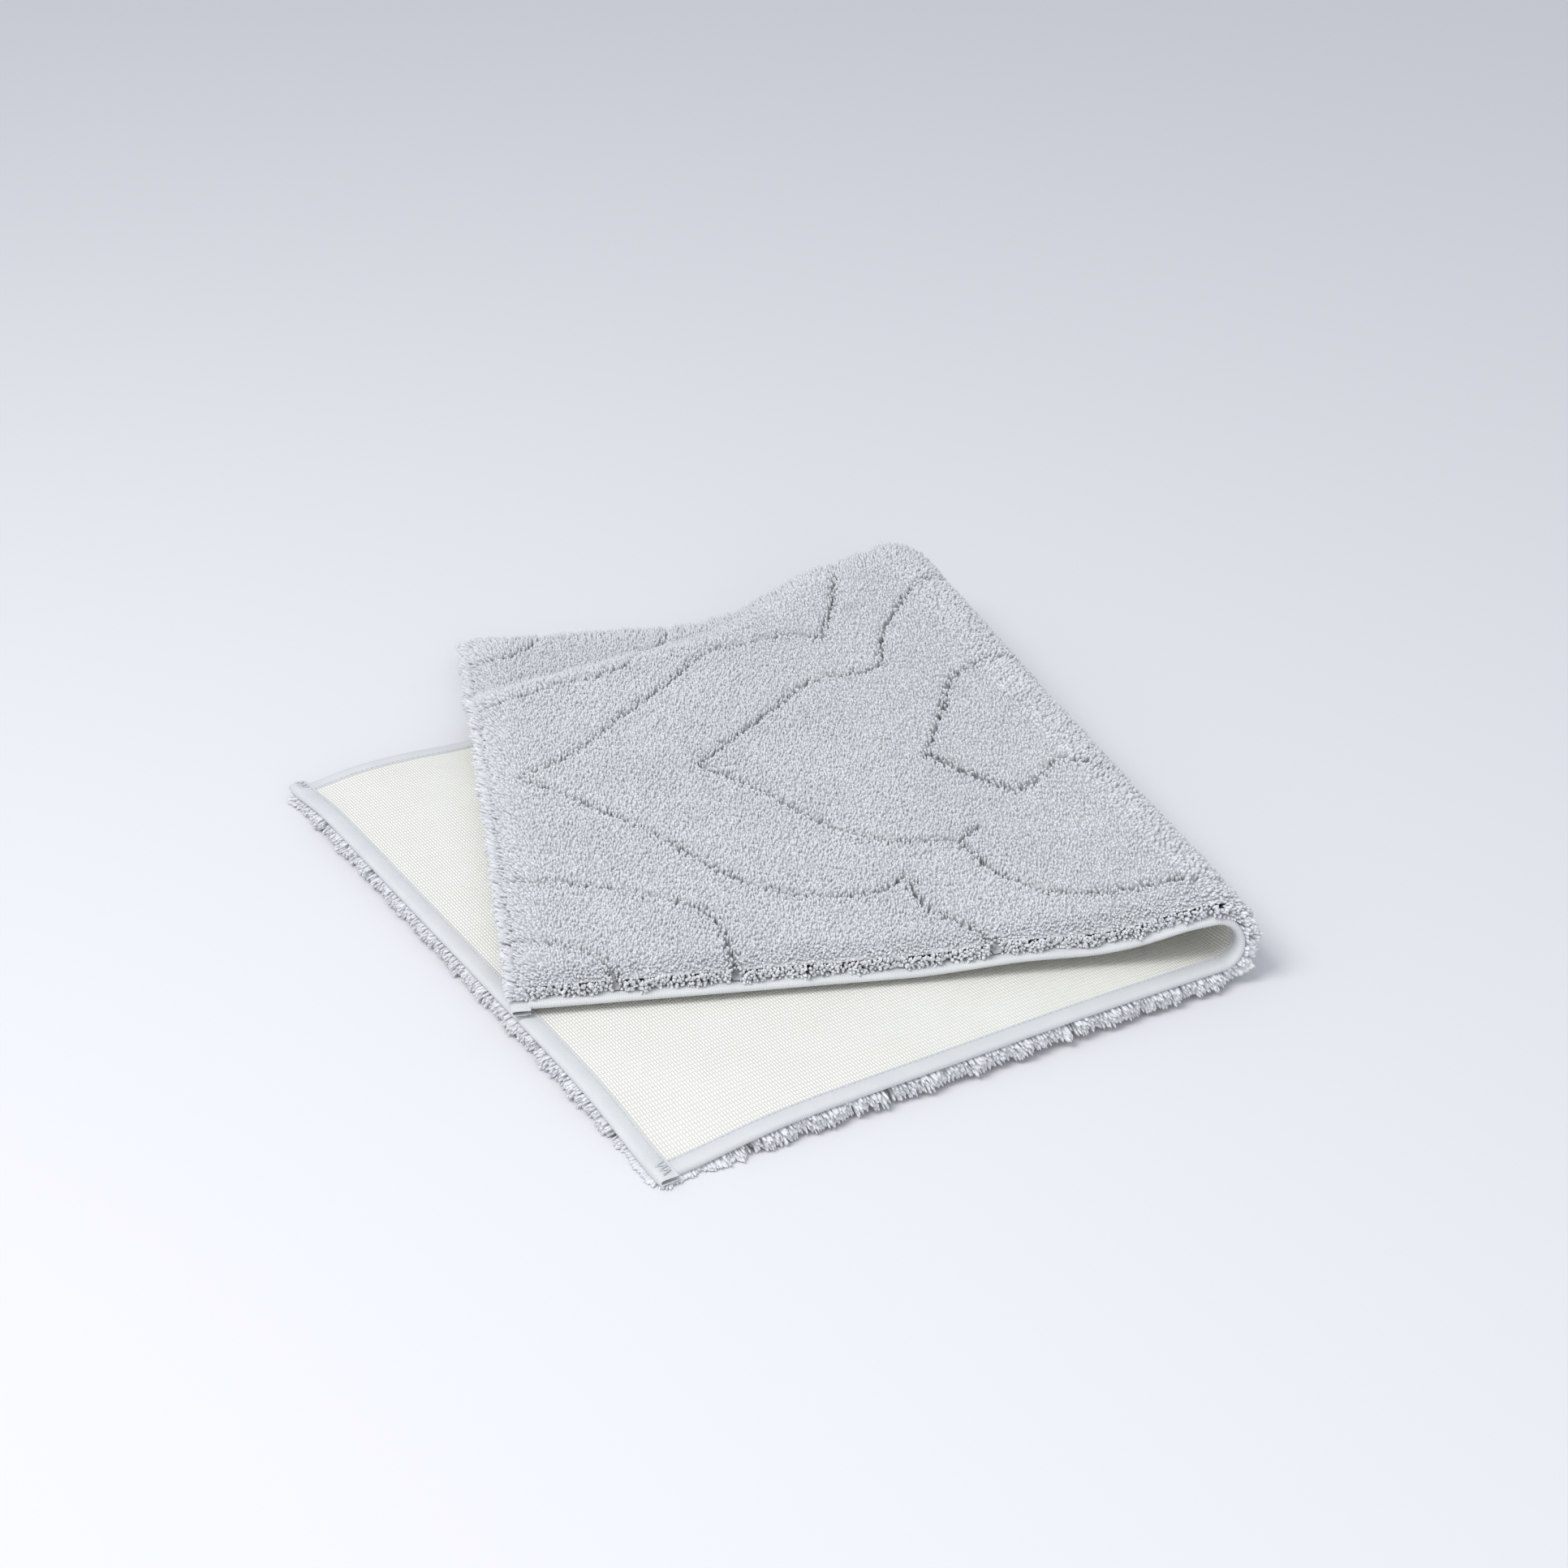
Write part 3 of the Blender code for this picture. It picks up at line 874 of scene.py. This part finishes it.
def plant(name, roots, reaches, shapes, thickness, spread, spin, seed, finish):
    """A plain mesh of shapes planted at roots, each reaching along its own reach, with its places still flat.
    """
    mesh = bpy.data.meshes.new(name + "_points")
    mesh.from_pydata(roots.tolist(), [], [])
    store(mesh, "reach", reaches, "FLOAT_VECTOR")
    cloud = bpy.data.objects.new(name + "_points", mesh)
    bpy.context.scene.collection.objects.link(cloud)
    modifier = cloud.modifiers.new("plant", "NODES")
    modifier.node_group = PLANTING
    values = {
        "Shapes": shapes, "Thickness": thickness, "Spread": spread,
        "Spin": spin, "Seed": seed, "Finish": finish,
    }
    for socket in PLANTING.interface.items_tree:
        if socket.name in values:
            modifier[socket.identifier] = values[socket.name]
    graph = bpy.context.evaluated_depsgraph_get()
    evaluated = cloud.evaluated_get(graph)
    grown = bpy.data.meshes.new_from_object(evaluated, preserve_all_data_layers=True, depsgraph=graph)
    bpy.data.objects.remove(cloud)
    flat = np.empty(len(grown.vertices) * 3, np.float32)
    grown.vertices.foreach_get("co", flat)
    flat = flat.reshape(-1, 3).astype(float)
    return grown, flat


def settle(name, grown, flat, lowest=None):
    """Folds a planted mesh up and makes it an object."""
    store(grown, "flat", flat, "FLOAT_VECTOR")
    places = fold_up(flat)
    if lowest is not None:
        places[:, 2] = np.maximum(places[:, 2], lowest)
    grown.vertices.foreach_set("co", places.astype(np.float32).ravel())
    # Depth points against the folded normal, so folding mirrors a shape and its faces are turned back.
    grown.flip_normals()
    grown.update()
    grown.name = name
    piece = bpy.data.objects.new(name, grown)
    bpy.context.scene.collection.objects.link(piece)
    return piece


print("a modifier's input is set by its identifier:", PLANTING.interface.items_tree[1].identifier)

# %% [markdown]
# ## Stitches
#
# A lockstitch shows on the tape as a row of short, slightly sunken lengths of thread. Each is a small
# capsule. At the corners, where an end tape crosses a side tape, a few crossing stitches tack them down.

# %% Stitch rows
STITCH_PITCH = 0.0038
STITCH_LENGTH = 0.0029
STITCH_THICK = 0.00042
STITCH_LIFT = 0.00050
END_STITCH_LIFT = 0.00110
TACK_THICK = 0.00050
THREAD_SPREAD = 0.00004
SEAM_INSET = 0.0094
CAPSULE = [[(0.0, 0.45, 0), (0.10, 0.85, 0), (0.30, 1.0, 0), (0.70, 1.0, 0), (0.90, 0.85, 0), (0.99, 0.4, 0)]]
stitch_shapes = shape_collection("stitch", CAPSULE, 6)


def stitch_points(name):
    """(roots, reaches) of a stretch's stitches on both side tapes, and on its end tape."""
    roots, reaches = [], []
    for side in (-1, 1):
        across = side * (WIDTH / 2 - SEAM_INSET)
        start, end = (float(x) for x in stretch_ends(name, np.array(across)))
        start, end = max(start, 0.011), min(end, LENGTH - 0.011)
        first, last = math.ceil(start / STITCH_PITCH), math.ceil(end / STITCH_PITCH)
        for number in range(first, last):
            roots.append((number * STITCH_PITCH - STITCH_LENGTH / 2, across, -STITCH_LIFT))
            reaches.append((STITCH_LENGTH, 0, 0))
    if name in ("lower", "upper"):
        along = SEAM_INSET - END_SETBACK if name == "lower" else LENGTH - SEAM_INSET + END_SETBACK
        reach = WIDTH / 2 - 0.002
        for across in np.arange(-reach, reach, STITCH_PITCH):
            roots.append((along, across, -END_STITCH_LIFT - float(corner_rise(across))))
            reaches.append((0, STITCH_LENGTH, 0))
    return np.array(roots), np.array(reaches)


def tack_points(name):
    """A zigzag of longer stitches over each corner of a stretch's end tape."""
    roots, reaches = [], []
    edge, inward = (0.0, 1) if name == "lower" else (LENGTH, -1)
    for side in (-1, 1):
        for number in range(5):
            forth = 1 if number % 2 else -1
            middle = (edge + inward * 0.0047, side * (WIDTH / 2 - 0.0075 + 0.0022 * number), -0.0029)
            reach = (forth * 0.0064, side * 0.0022, 0)
            roots.append(np.array(middle) - np.array(reach) / 2)
            reaches.append(reach)
    return np.array(roots), np.array(reaches)


def make_stitches(name):
    roots, reaches = stitch_points(name)
    grown, flat = plant(name, roots, reaches, stitch_shapes, STITCH_THICK, THREAD_SPREAD, 0.0, 3, THREAD)
    return settle(name + "_stitches", grown, flat)


def make_tacks(name):
    roots, reaches = tack_points(name)
    grown, flat = plant(name, roots, reaches, stitch_shapes, TACK_THICK, THREAD_SPREAD, 0.0, 5, THREAD)
    return settle(name + "_corner_tacks", grown, flat)


stitches = {name: make_stitches(name) for name, _, _ in STRETCHES}
tacks = {name: make_tacks(name) for name in ("lower", "upper")}
print("stitched stretches:", len(stitches))

# %% [markdown]
# ## The carved pattern
#
# The pile is carved along narrow lines into long leaves with a bud between them. The lines are drawn on one
# half of the mat, as (distance from the short end as a share of half the length, place across from -1 at
# the front to 1 at the back). The other half carries the same drawing turned half round.

# %% Carved lines
CARVED_LINES = {
    "corner_back": [(-0.10, 0.70), (0.03, 0.83), (0.10, 0.90), (0.17, 1.10)],
    "side_back": [(-0.10, 0.31), (0.03, 0.45), (0.14, 0.54), (0.25, 0.63), (0.33, 0.87), (0.36, 1.10)],
    "outer_leaf_back": [
        (0.05, 0.03), (0.14, 0.14), (0.24, 0.35), (0.32, 0.52),
        (0.39, 0.68), (0.45, 0.71), (0.53, 0.70), (0.59, 0.63),
    ],
    "rib_back": [(0.59, 0.63), (0.62, 0.78), (0.66, 1.10)],
    "inner_leaf_back": [
        (0.33, 0.03), (0.46, 0.29), (0.52, 0.40), (0.57, 0.44),
        (0.66, 0.41), (0.69, 0.58), (0.79, 0.80), (0.86, 0.86),
    ],
    "inner_leaf_front": [
        (0.33, 0.03), (0.41, -0.12), (0.49, -0.32), (0.58, -0.44), (0.68, -0.46), (0.72, -0.42),
    ],
    "bud_front": [(0.68, -0.46), (0.73, -0.68), (0.82, -0.80), (1.00, -0.88)],
    "petal_back": [(0.69, -0.04), (0.74, 0.14), (0.77, 0.25), (0.87, 0.32)],
    "petal_front": [
        (0.69, -0.04), (0.75, -0.20), (0.81, -0.31), (0.88, -0.24), (0.94, -0.36), (1.00, -0.42),
    ],
    "petal_rib": [(0.87, 0.20), (0.90, 0.07), (0.94, -0.06)],
    "outer_leaf_front": [
        (0.05, 0.03), (0.14, -0.12), (0.25, -0.34), (0.34, -0.56),
        (0.43, -0.67), (0.54, -0.68), (0.59, -0.60),
    ],
    "rib_front": [(0.59, -0.60), (0.60, -0.76), (0.66, -0.92), (0.70, -1.10)],
    "side_front": [(-0.10, -0.46), (0.08, -0.52), (0.22, -0.62), (0.30, -0.76), (0.31, -1.10)],
    "corner_front": [(-0.10, -0.74), (0.06, -0.80), (0.13, -0.90), (0.15, -1.10)],
}


print("carved lines on each half:", len(CARVED_LINES))

# %% The lines as short straight pieces


def curve_through(points, steps):
    """A Catmull-Rom curve through the points."""
    padded = np.array([2 * points[0] - points[1], *points, 2 * points[-1] - points[-2]])
    line = []
    for a, b, c, d in zip(padded, padded[1:], padded[2:], padded[3:]):
        for t in np.arange(steps) / steps:
            squared = (2 * a - 5 * b + 4 * c - d) * t**2
            cubed = (3 * b - a - 3 * c + d) * t**3
            line.append(0.5 * (2 * b + (c - a) * t + squared + cubed))
    return np.array([*line, points[-1]])


def carved_segments():
    """The start and end points of every short straight piece of the carved lines, on the flat mat."""
    starts, ends = [], []
    for points in CARVED_LINES.values():
        drawn = curve_through(np.array(points), 8) * (LENGTH / 2, WIDTH / 2)
        upper_line = np.stack([LENGTH - drawn[:, 0], drawn[:, 1]], -1)
        lower_line = np.stack([drawn[:, 0], -drawn[:, 1]], -1)
        for line in (upper_line, lower_line):
            starts.append(line[:-1])
            ends.append(line[1:])
    return np.concatenate(starts), np.concatenate(ends)


SEGMENT_STARTS, SEGMENT_ENDS = carved_segments()
print("carved pieces of line:", len(SEGMENT_STARTS))

# %% How far a place is from the carving


def distance_to_carving(along, across):
    """How far each place is from the nearest carved line."""
    places = np.stack([along, across], axis=-1)
    nearest = np.full(len(places), np.inf)
    for start, end in zip(SEGMENT_STARTS, SEGMENT_ENDS):
        way = end - start
        close = np.abs(places - (start + end) / 2).max(axis=1) < np.linalg.norm(way) / 2 + 0.02
        from_start = places[close] - start
        share = np.clip(from_start @ way / (way @ way), 0, 1)
        apart = np.linalg.norm(from_start - share[:, None] * way, axis=1)
        nearest[close] = np.minimum(nearest[close], apart)
    return nearest


tip_along, tip_across = CARVED_LINES["inner_leaf_back"][0]
beside_tip = np.array([LENGTH - tip_along * LENGTH / 2 + 0.005]), np.array([tip_across * WIDTH / 2])
tip_gap = float(distance_to_carving(*beside_tip)[0])
print("5 mm past the inner leaf's tip, the carving is", round(1000 * tip_gap, 1), "mm away")

# %% [markdown]
# ## The pile
#
# Each tuft is a small four-sided bundle of yarn that widens upwards, leans a little and closes to a tip.
# There are too many for finer ones. Near an edge the roots stay clear of the tape while the tips lean out
# over it in clumps, which is why a mat's edge looks shaggy. Along a carved line tufts are missing or
# shorter. Smooth waves, not random numbers, gather the tips, so neighbours agree with each other.

# %% Tuft shapes and waviness
TUFTS = [
    [(0.0, 0.50, 0.0), (0.91, 1.00, 0.30)],
    [(0.0, 0.50, 0.0), (0.93, 1.05, -0.20)],
    [(0.0, 0.45, 0.0), (0.90, 0.92, 0.55)],
    [(0.0, 0.55, 0.0), (0.92, 0.95, 0.00)],
]
tuft_shapes = shape_collection("tuft", TUFTS, 4)
FRINGE_TUFTS = [
    [(0.0, 0.60, 0.0), (0.40, 0.85, 0.35), (0.72, 1.05, -0.25), (0.92, 0.78, 0.15)],
    [(0.0, 0.60, 0.0), (0.45, 0.95, -0.30), (0.75, 1.00, 0.35), (0.93, 0.70, -0.10)],
    [(0.0, 0.55, 0.0), (0.35, 0.80, 0.10), (0.70, 1.10, 0.30), (0.90, 0.85, 0.60)],
]
# The fringe starts high on that scale, so its roots get only light painted shade.
fringe_shapes = shape_collection("fringe_tuft", FRINGE_TUFTS, 4, 0.88)

PILE_SPACING = 0.00195
TUFT_THICK = 0.00088
ROOT_ROOM = 0.0125
LEAN_REACH = 0.030
MOST_OVERHANG = 0.008
CARVED_HALF = 0.0013


def waviness(place, wavelength, phase):
    """A smooth irregular wave between about -1 and 1."""
    turn = math.tau * place / wavelength
    slow = np.sin(turn + phase)
    quicker, quickest = np.sin(2.13 * turn + 1.7 * phase), np.sin(3.47 * turn + 2.9 * phase)
    return (slow + 0.7 * quicker + 0.5 * quickest) / 1.8


def clumping(along, across):
    """A small sideways pull, (along, across), that gathers tips into clumps with gaps between them."""
    pull_along = np.sin(900 * along + 430 * across + 1.0) + np.sin(610 * along - 840 * across + 4.0)
    pull_across = np.sin(-520 * along + 980 * across + 2.0) + np.sin(1150 * along + 350 * across + 5.0)
    return 0.00030 * pull_along, 0.00030 * pull_across


print("tuft shapes:", len(TUFTS), "for the face and", len(FRINGE_TUFTS), "for the fringe")

# %% [markdown]
# ## Leaning over the tape
#
# The tape holds the outermost tufts down at the root, so they lean out over it. These functions say how
# far the tips pass the edge, where the root of a leaning tuft is, how high the pile stands, and how
# deep it may reach where the lower half sags towards the floor.

# %% Reach and height of the pile
OVERHANG = {"lower": 0.0040, "turn_1": 0.0032, "turn_2": 0.0028, "turn_3": 0.0022, "turn_4": 0.0018}
UPPER_OVERHANG = -0.0022
END_TUFT_OVERHANG = 0.0040


def edge_overhang(name, run, side):
    """How far the tips reach past the mat's long edge at a place along it, in clumps."""
    clumps = 0.0028 * waviness(run, 0.034, 1.3 + side) + 0.0010 * waviness(run, 0.009, side)
    return OVERHANG.get(name, UPPER_OVERHANG) + clumps


def end_overhang(across):
    """The same past a short end."""
    return END_TUFT_OVERHANG + 0.0016 * waviness(across, 0.041, 0.8) + 0.0010 * waviness(across, 0.011, 2.0)


def edge_distances(name, along, across):
    """Distance in from the nearest long edge and from the stretch's own short end."""
    from_side = WIDTH / 2 - np.abs(across)
    if name == "lower":
        return from_side, along
    if name == "upper":
        return from_side, LENGTH - along
    return from_side, np.full_like(along, 1.0)


def rooted(distance):
    """Where the root of a tuft is, whose tip is at this distance from an edge."""
    tip_reach, root_reach = LEAN_REACH + MOST_OVERHANG, LEAN_REACH - ROOT_ROOM
    squeezed = ROOT_ROOM + (distance + MOST_OVERHANG) * root_reach / tip_reach
    return np.where(distance < LEAN_REACH, squeezed, distance)


def pile_height(name, along, across):
    """The pile's height at a place, as a share of its full height: lower at edges and beside carved lines."""
    from_side, from_end = edge_distances(name, along, across)
    shoulder = smooth((np.minimum(from_side, from_end) + 0.004) / 0.013)
    carved = distance_to_carving(along, across)
    bank = smooth((carved - CARVED_HALF) / 0.0050)
    swell = 0.03 * waviness(along, 0.061, 0.4) * waviness(across, 0.047, 2.0)
    return (0.66 + 0.34 * shoulder) * (0.80 + 0.20 * bank) + swell, carved


def room_below(name, along, across):
    """The deepest that pile may reach here: where the lower half sags, the floor is in the way."""
    if name not in ("lower", "turn_1"):
        return np.full_like(along, 1.0)
    return np.maximum(cloth_back(along, across)[:, 2] - 0.0008, CLOTH_DEPTH + 0.001)


print("a tip on the tape's edge has its root", round(1000 * float(rooted(np.array(0.0))), 1), "mm in")

# %% [markdown]
# ## Where the tufts stand
#
# Tips are spread first, because they are what is seen: a grid, shaken by up to two fifths of a step. The
# loop gets more rows, as its outside is stretched, and the lower half fewer, as it lies on the floor.
# Roots follow from the tips. A fixed seed for each stretch makes the same mat every time.

# %% Tips and roots of one stretch
CROWDING = {"turn_1": 1.3, "turn_2": 1.4, "turn_3": 1.4, "turn_4": 1.3, "lower": 0.76}


def tuft_places(name, random):
    """(roots, reaches) of every tuft of a stretch."""
    spacing = PILE_SPACING / min(1, CROWDING.get(name, 1))
    step = PILE_SPACING / CROWDING.get(name, 1)
    reach = WIDTH / 2 + MOST_OVERHANG
    edges = np.array([-reach, reach])
    start, end = stretch_ends(name, edges)
    low = start.min() - (MOST_OVERHANG if name == "lower" else 0)
    high = end.max() + (MOST_OVERHANG if name == "upper" else 0)
    along, across = np.meshgrid(np.arange(low, high, step), np.arange(-reach, reach, spacing), indexing="ij")
    along = (along + random.uniform(-0.40, 0.40, along.shape) * step).ravel()
    across = (across + random.uniform(-0.40, 0.40, across.shape) * spacing).ravel()

    start, end = stretch_ends(name, across)
    start = start - (MOST_OVERHANG if name == "lower" else 0)
    end = end + (MOST_OVERHANG if name == "upper" else 0)
    from_side, from_end = edge_distances(name, along, across)
    kept = (along >= start) & (along < end)
    kept &= from_side > -edge_overhang(name, along, np.sign(across))
    kept &= from_end > -end_overhang(across)
    along, across = along[kept], across[kept]

    wobble_along, wobble_across = 0.0012 * waviness(across, 0.010, 0.0), 0.0012 * waviness(along, 0.009, 1.0)
    height, carved = pile_height(name, along + wobble_along, across + wobble_across)
    cut = CARVED_HALF * (1 + 0.4 * waviness(along, 0.029, 0.3) * waviness(across, 0.023, 1.1))
    kept = (carved > cut) | (random.random(len(along)) < 0.10)
    along, across, height = along[kept], across[kept], height[kept]
    height = height + random.uniform(-0.085, 0.085, len(along))
    pull_along, pull_across = clumping(along, across)
    along, across = along + pull_along, across + pull_across

    from_side, from_end = edge_distances(name, along, across)
    root_across = np.sign(across) * (WIDTH / 2 - rooted(from_side))
    root_across = root_across + random.uniform(-0.0016, 0.0016, len(along))
    root_along = along + random.uniform(-0.0016, 0.0016, len(along))
    if name == "lower":
        root_along = rooted(from_end) + random.uniform(-0.001, 0.001, len(along))
    if name == "upper":
        root_along = LENGTH - rooted(from_end) + random.uniform(-0.001, 0.001, len(along))
    depth = np.minimum(CLOTH_DEPTH + height * (PILE_DEPTH - CLOTH_DEPTH), room_below(name, along, across))
    tips = np.stack([along, across, depth], -1)
    roots = np.stack([root_along, root_across, np.full_like(along, CLOTH_DEPTH)], -1)
    return roots, tips - roots


print("most crowded stretch:", max(CROWDING, key=CROWDING.get))

# %% [markdown]
# ## The fringe
#
# Past the tape a mat shows its longest, loosest yarn, from the side. Tufts seen from the side need more
# shape than tufts seen from above, so these are thicker and curl, and they stand in five layers from low
# to high. Places come from walking along each free edge, and carved lines leave gaps in the row.

# %% The fringe at the edges
FLOOR_CLEARANCE = 0.0003
FRINGE_PITCH = 0.0017
FRINGE_LAYERS = [0.24, 0.40, 0.55, 0.70, 0.84]
FRINGE_THICK = 0.00105
FRINGE_INSET = 0.0110
FRINGE_ROOT_DEPTH = 0.0037


def edge_places(name):
    """(along, across, outward along, outward across) of places along a stretch's free edges."""
    places = []
    for side in (-1, 1):
        start, end = (float(x) for x in stretch_ends(name, np.array(side * WIDTH / 2)))
        places += [(run, side * WIDTH / 2, 0, side) for run in np.arange(start, end, FRINGE_PITCH)]
    if name in ("lower", "upper"):
        edge, outward = (0.0, -1) if name == "lower" else (LENGTH, 1)
        places += [(edge, run, outward, 0) for run in np.arange(-WIDTH / 2, WIDTH / 2, FRINGE_PITCH)]
    return np.array(places)


def fringe_places(name, random):
    """(roots, reaches) of the thicker, curlier tufts that lean out over the tape."""
    edge = edge_places(name)
    layer = np.repeat(FRINGE_LAYERS, len(edge))
    edge = np.tile(edge, (len(FRINGE_LAYERS), 1))
    outward, sideways = edge[:, 2:], np.abs(edge[:, :1:-1])
    place = edge[:, :2] + sideways * random.uniform(-0.0006, 0.0006, (len(edge), 1))
    carved = distance_to_carving(*(place - 0.004 * outward).T)
    kept = (carved > 0.0030) & (random.random(len(edge)) > 0.10)
    place, outward, sideways, layer = place[kept], outward[kept], sideways[kept], layer[kept]

    beside = outward[:, 1] != 0
    over = np.where(beside, edge_overhang(name, place[:, 0], outward[:, 1]), end_overhang(place[:, 1]))
    over = over + random.uniform(-0.0012, 0.0010, len(place)) - 0.0012 * np.abs(layer - 0.5)
    share = layer + random.uniform(-0.07, 0.07, len(place))
    tips = place + over[:, None] * outward + sideways * random.uniform(-0.0014, 0.0014, (len(place), 1))
    roots = place - FRINGE_INSET * outward
    nearest = (FRINGE_INSET, FRINGE_INSET - WIDTH / 2)
    furthest = (LENGTH - FRINGE_INSET, WIDTH / 2 - FRINGE_INSET)
    roots = np.clip(roots, nearest, furthest)
    depth = np.minimum(CLOTH_DEPTH + share * (PILE_DEPTH - CLOTH_DEPTH), room_below(name, *tips.T))
    depth = np.maximum(depth, FRINGE_ROOT_DEPTH + 0.0004)
    tips = np.column_stack([tips, depth])
    roots = np.column_stack([roots, np.full(len(roots), FRINGE_ROOT_DEPTH)])
    return roots, tips - roots


def make_fringe(name, seed):
    roots, reaches = fringe_places(name, np.random.default_rng(seed))
    label = name + "_fringe"
    grown, flat = plant(label, roots, reaches, fringe_shapes, FRINGE_THICK, 0.00025, math.tau, seed, YARN)
    return settle(label, grown, flat, FLOOR_CLEARANCE)


print("fringe layers:", len(FRINGE_LAYERS), "at a pitch of", 1000 * FRINGE_PITCH, "mm")

# %% [markdown]
# ## A soft bed
#
# Between real tufts there is more yarn, not bare cloth. Planting enough tufts to fill every gap would make
# the mesh far too heavy. A closed body at about four fifths of the pile's height fills the gaps instead,
# coloured dark with the same painted shade as yarn low in the pile. It sinks along the carved lines and
# ends inside the edge tufts.

# %% The bed under the tufts
BED_GRID = 0.004
BED_SHARE = 0.81
BED_INSET = 0.005


def bed_height(name, along, across):
    height, carved = pile_height(name, along, across)
    return height * np.where(carved < 0.0034, 0.30, BED_SHARE)


def make_bed(name):
    """A closed soft body under the tufts' tips, spreading out over the tape as they do."""
    reach = WIDTH / 2 - BED_INSET
    across = np.linspace(-reach, reach, round(2 * reach / BED_GRID) + 1)
    along, across_grid = stretch_grid(name, across, BED_GRID if name not in TURN_OF else 0.003)
    from_side = WIDTH / 2 - np.abs(across_grid)
    root_across = np.sign(across_grid) * (WIDTH / 2 - rooted(from_side))
    root_along = along
    if name == "lower":
        along = along + BED_INSET * (1 - along / along.max())
        root_along = np.where(along < LEAN_REACH, rooted(along), along)
    if name == "upper":
        along = along - BED_INSET * near_end(along)
        root_along = np.where(LENGTH - along < LEAN_REACH, LENGTH - rooted(LENGTH - along), along)
    flat_along, flat_across = along.ravel(), np.ascontiguousarray(across_grid).ravel()
    depth = CLOTH_DEPTH + bed_height(name, flat_along, flat_across) * (PILE_DEPTH - CLOTH_DEPTH)
    depth = np.minimum(depth, room_below(name, flat_along, flat_across)).reshape(along.shape)
    top = np.stack([along, across_grid, depth], -1)
    bottom = np.stack([root_along, root_across, np.full_like(along, CLOTH_DEPTH)], -1)
    bed = closed_sheet(name + "_pile_bed", top, bottom, YARN)
    count = len(bed.data.vertices) // 2
    # Painted shade: the bed gets a low value here, so the yarn colour paints it dark as shade between the
    # tufts.
    store(bed.data, "rise", np.concatenate([np.full(count, 0.55), np.full(count, 0.45)]), "FLOAT")
    store(bed.data, "tone", np.full(2 * count, 0.5), "FLOAT")
    return bed


print("bed: one point every", 1000 * BED_GRID, "mm, or less")

# %% [markdown]
# ## Growing the pile
#
# Bed, tufts and fringe are now made for all eight stretches. A stretch with many tufts is split along the
# mat into pieces of at most thirteen thousand, so that no mesh is too heavy to export.

# %% Grow the pile
MOST_TUFTS = 13000


def make_tufts(name, seed):
    """The tufts of a stretch, in as many pieces as keep each mesh to a fair size."""
    random = np.random.default_rng(seed)
    roots, reaches = tuft_places(name, random)
    parts = math.ceil(len(roots) / MOST_TUFTS)
    borders = np.quantile(roots[:, 0], np.linspace(0, 1, parts + 1))
    which = np.clip(np.searchsorted(borders, roots[:, 0], side="right") - 1, 0, parts - 1)
    made = []
    for part in range(parts):
        chosen = which == part
        label = f"{name}_tufts_{part + 1}"
        grown, flat = plant(
            label, roots[chosen], reaches[chosen], tuft_shapes,
            TUFT_THICK, 0.00018, math.tau, seed + part, YARN,
        )
        made.append(settle(label, grown, flat, FLOOR_CLEARANCE))
    return made


beds = {name: make_bed(name) for name, _, _ in STRETCHES}
tufts = {name: make_tufts(name, 40 + 10 * number) for number, (name, _, _) in enumerate(STRETCHES)}
fringes = {name: make_fringe(name, 200 + number) for number, (name, _, _) in enumerate(STRETCHES)}
for bed in beds.values():
    for vertex in bed.data.vertices:
        vertex.co.z = max(vertex.co.z, FLOOR_CLEARANCE)
tuft_pieces = [piece for pieces in tufts.values() for piece in pieces]
print("tuft faces:", sum(len(piece.data.polygons) for piece in tuft_pieces), "in", len(tuft_pieces), "pieces")

# %% [markdown]
# ## Joining the pieces to the frame
#
# Every piece of a stretch rides the same way: with its band's body, or baked in place where the stretch
# bends. Each replaces the plain solids of the frame that stand for it.

# %% Follow and replace
for name, _, node in STRETCHES:
    pieces = [cloths[name], *tapes[name], stitches[name], beds[name], fringes[name], *tufts[name]]
    slots = ["backing", "tape", "tape", "seam", "pile", "pile"] + ["pile"] * len(tufts[name])
    if name in end_tapes:
        pieces += [end_tapes[name], tacks[name]]
        slots += ["tape", "seam"]
    for piece, slot in zip(pieces, slots):
        follow_frame(piece, name)
    if node:
        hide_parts(node + "_backing", node + "_ground_cloth")
        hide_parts(node + "_front_tape")
        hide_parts(node + "_back_tape")
        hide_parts(node + "_front_seam", node + "_back_seam")
        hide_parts(node + "_pile")
    if name in end_tapes:
        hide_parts(node + "_end_tape")
        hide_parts(node + "_front_tack", node + "_back_tack", node + "_end_seam")
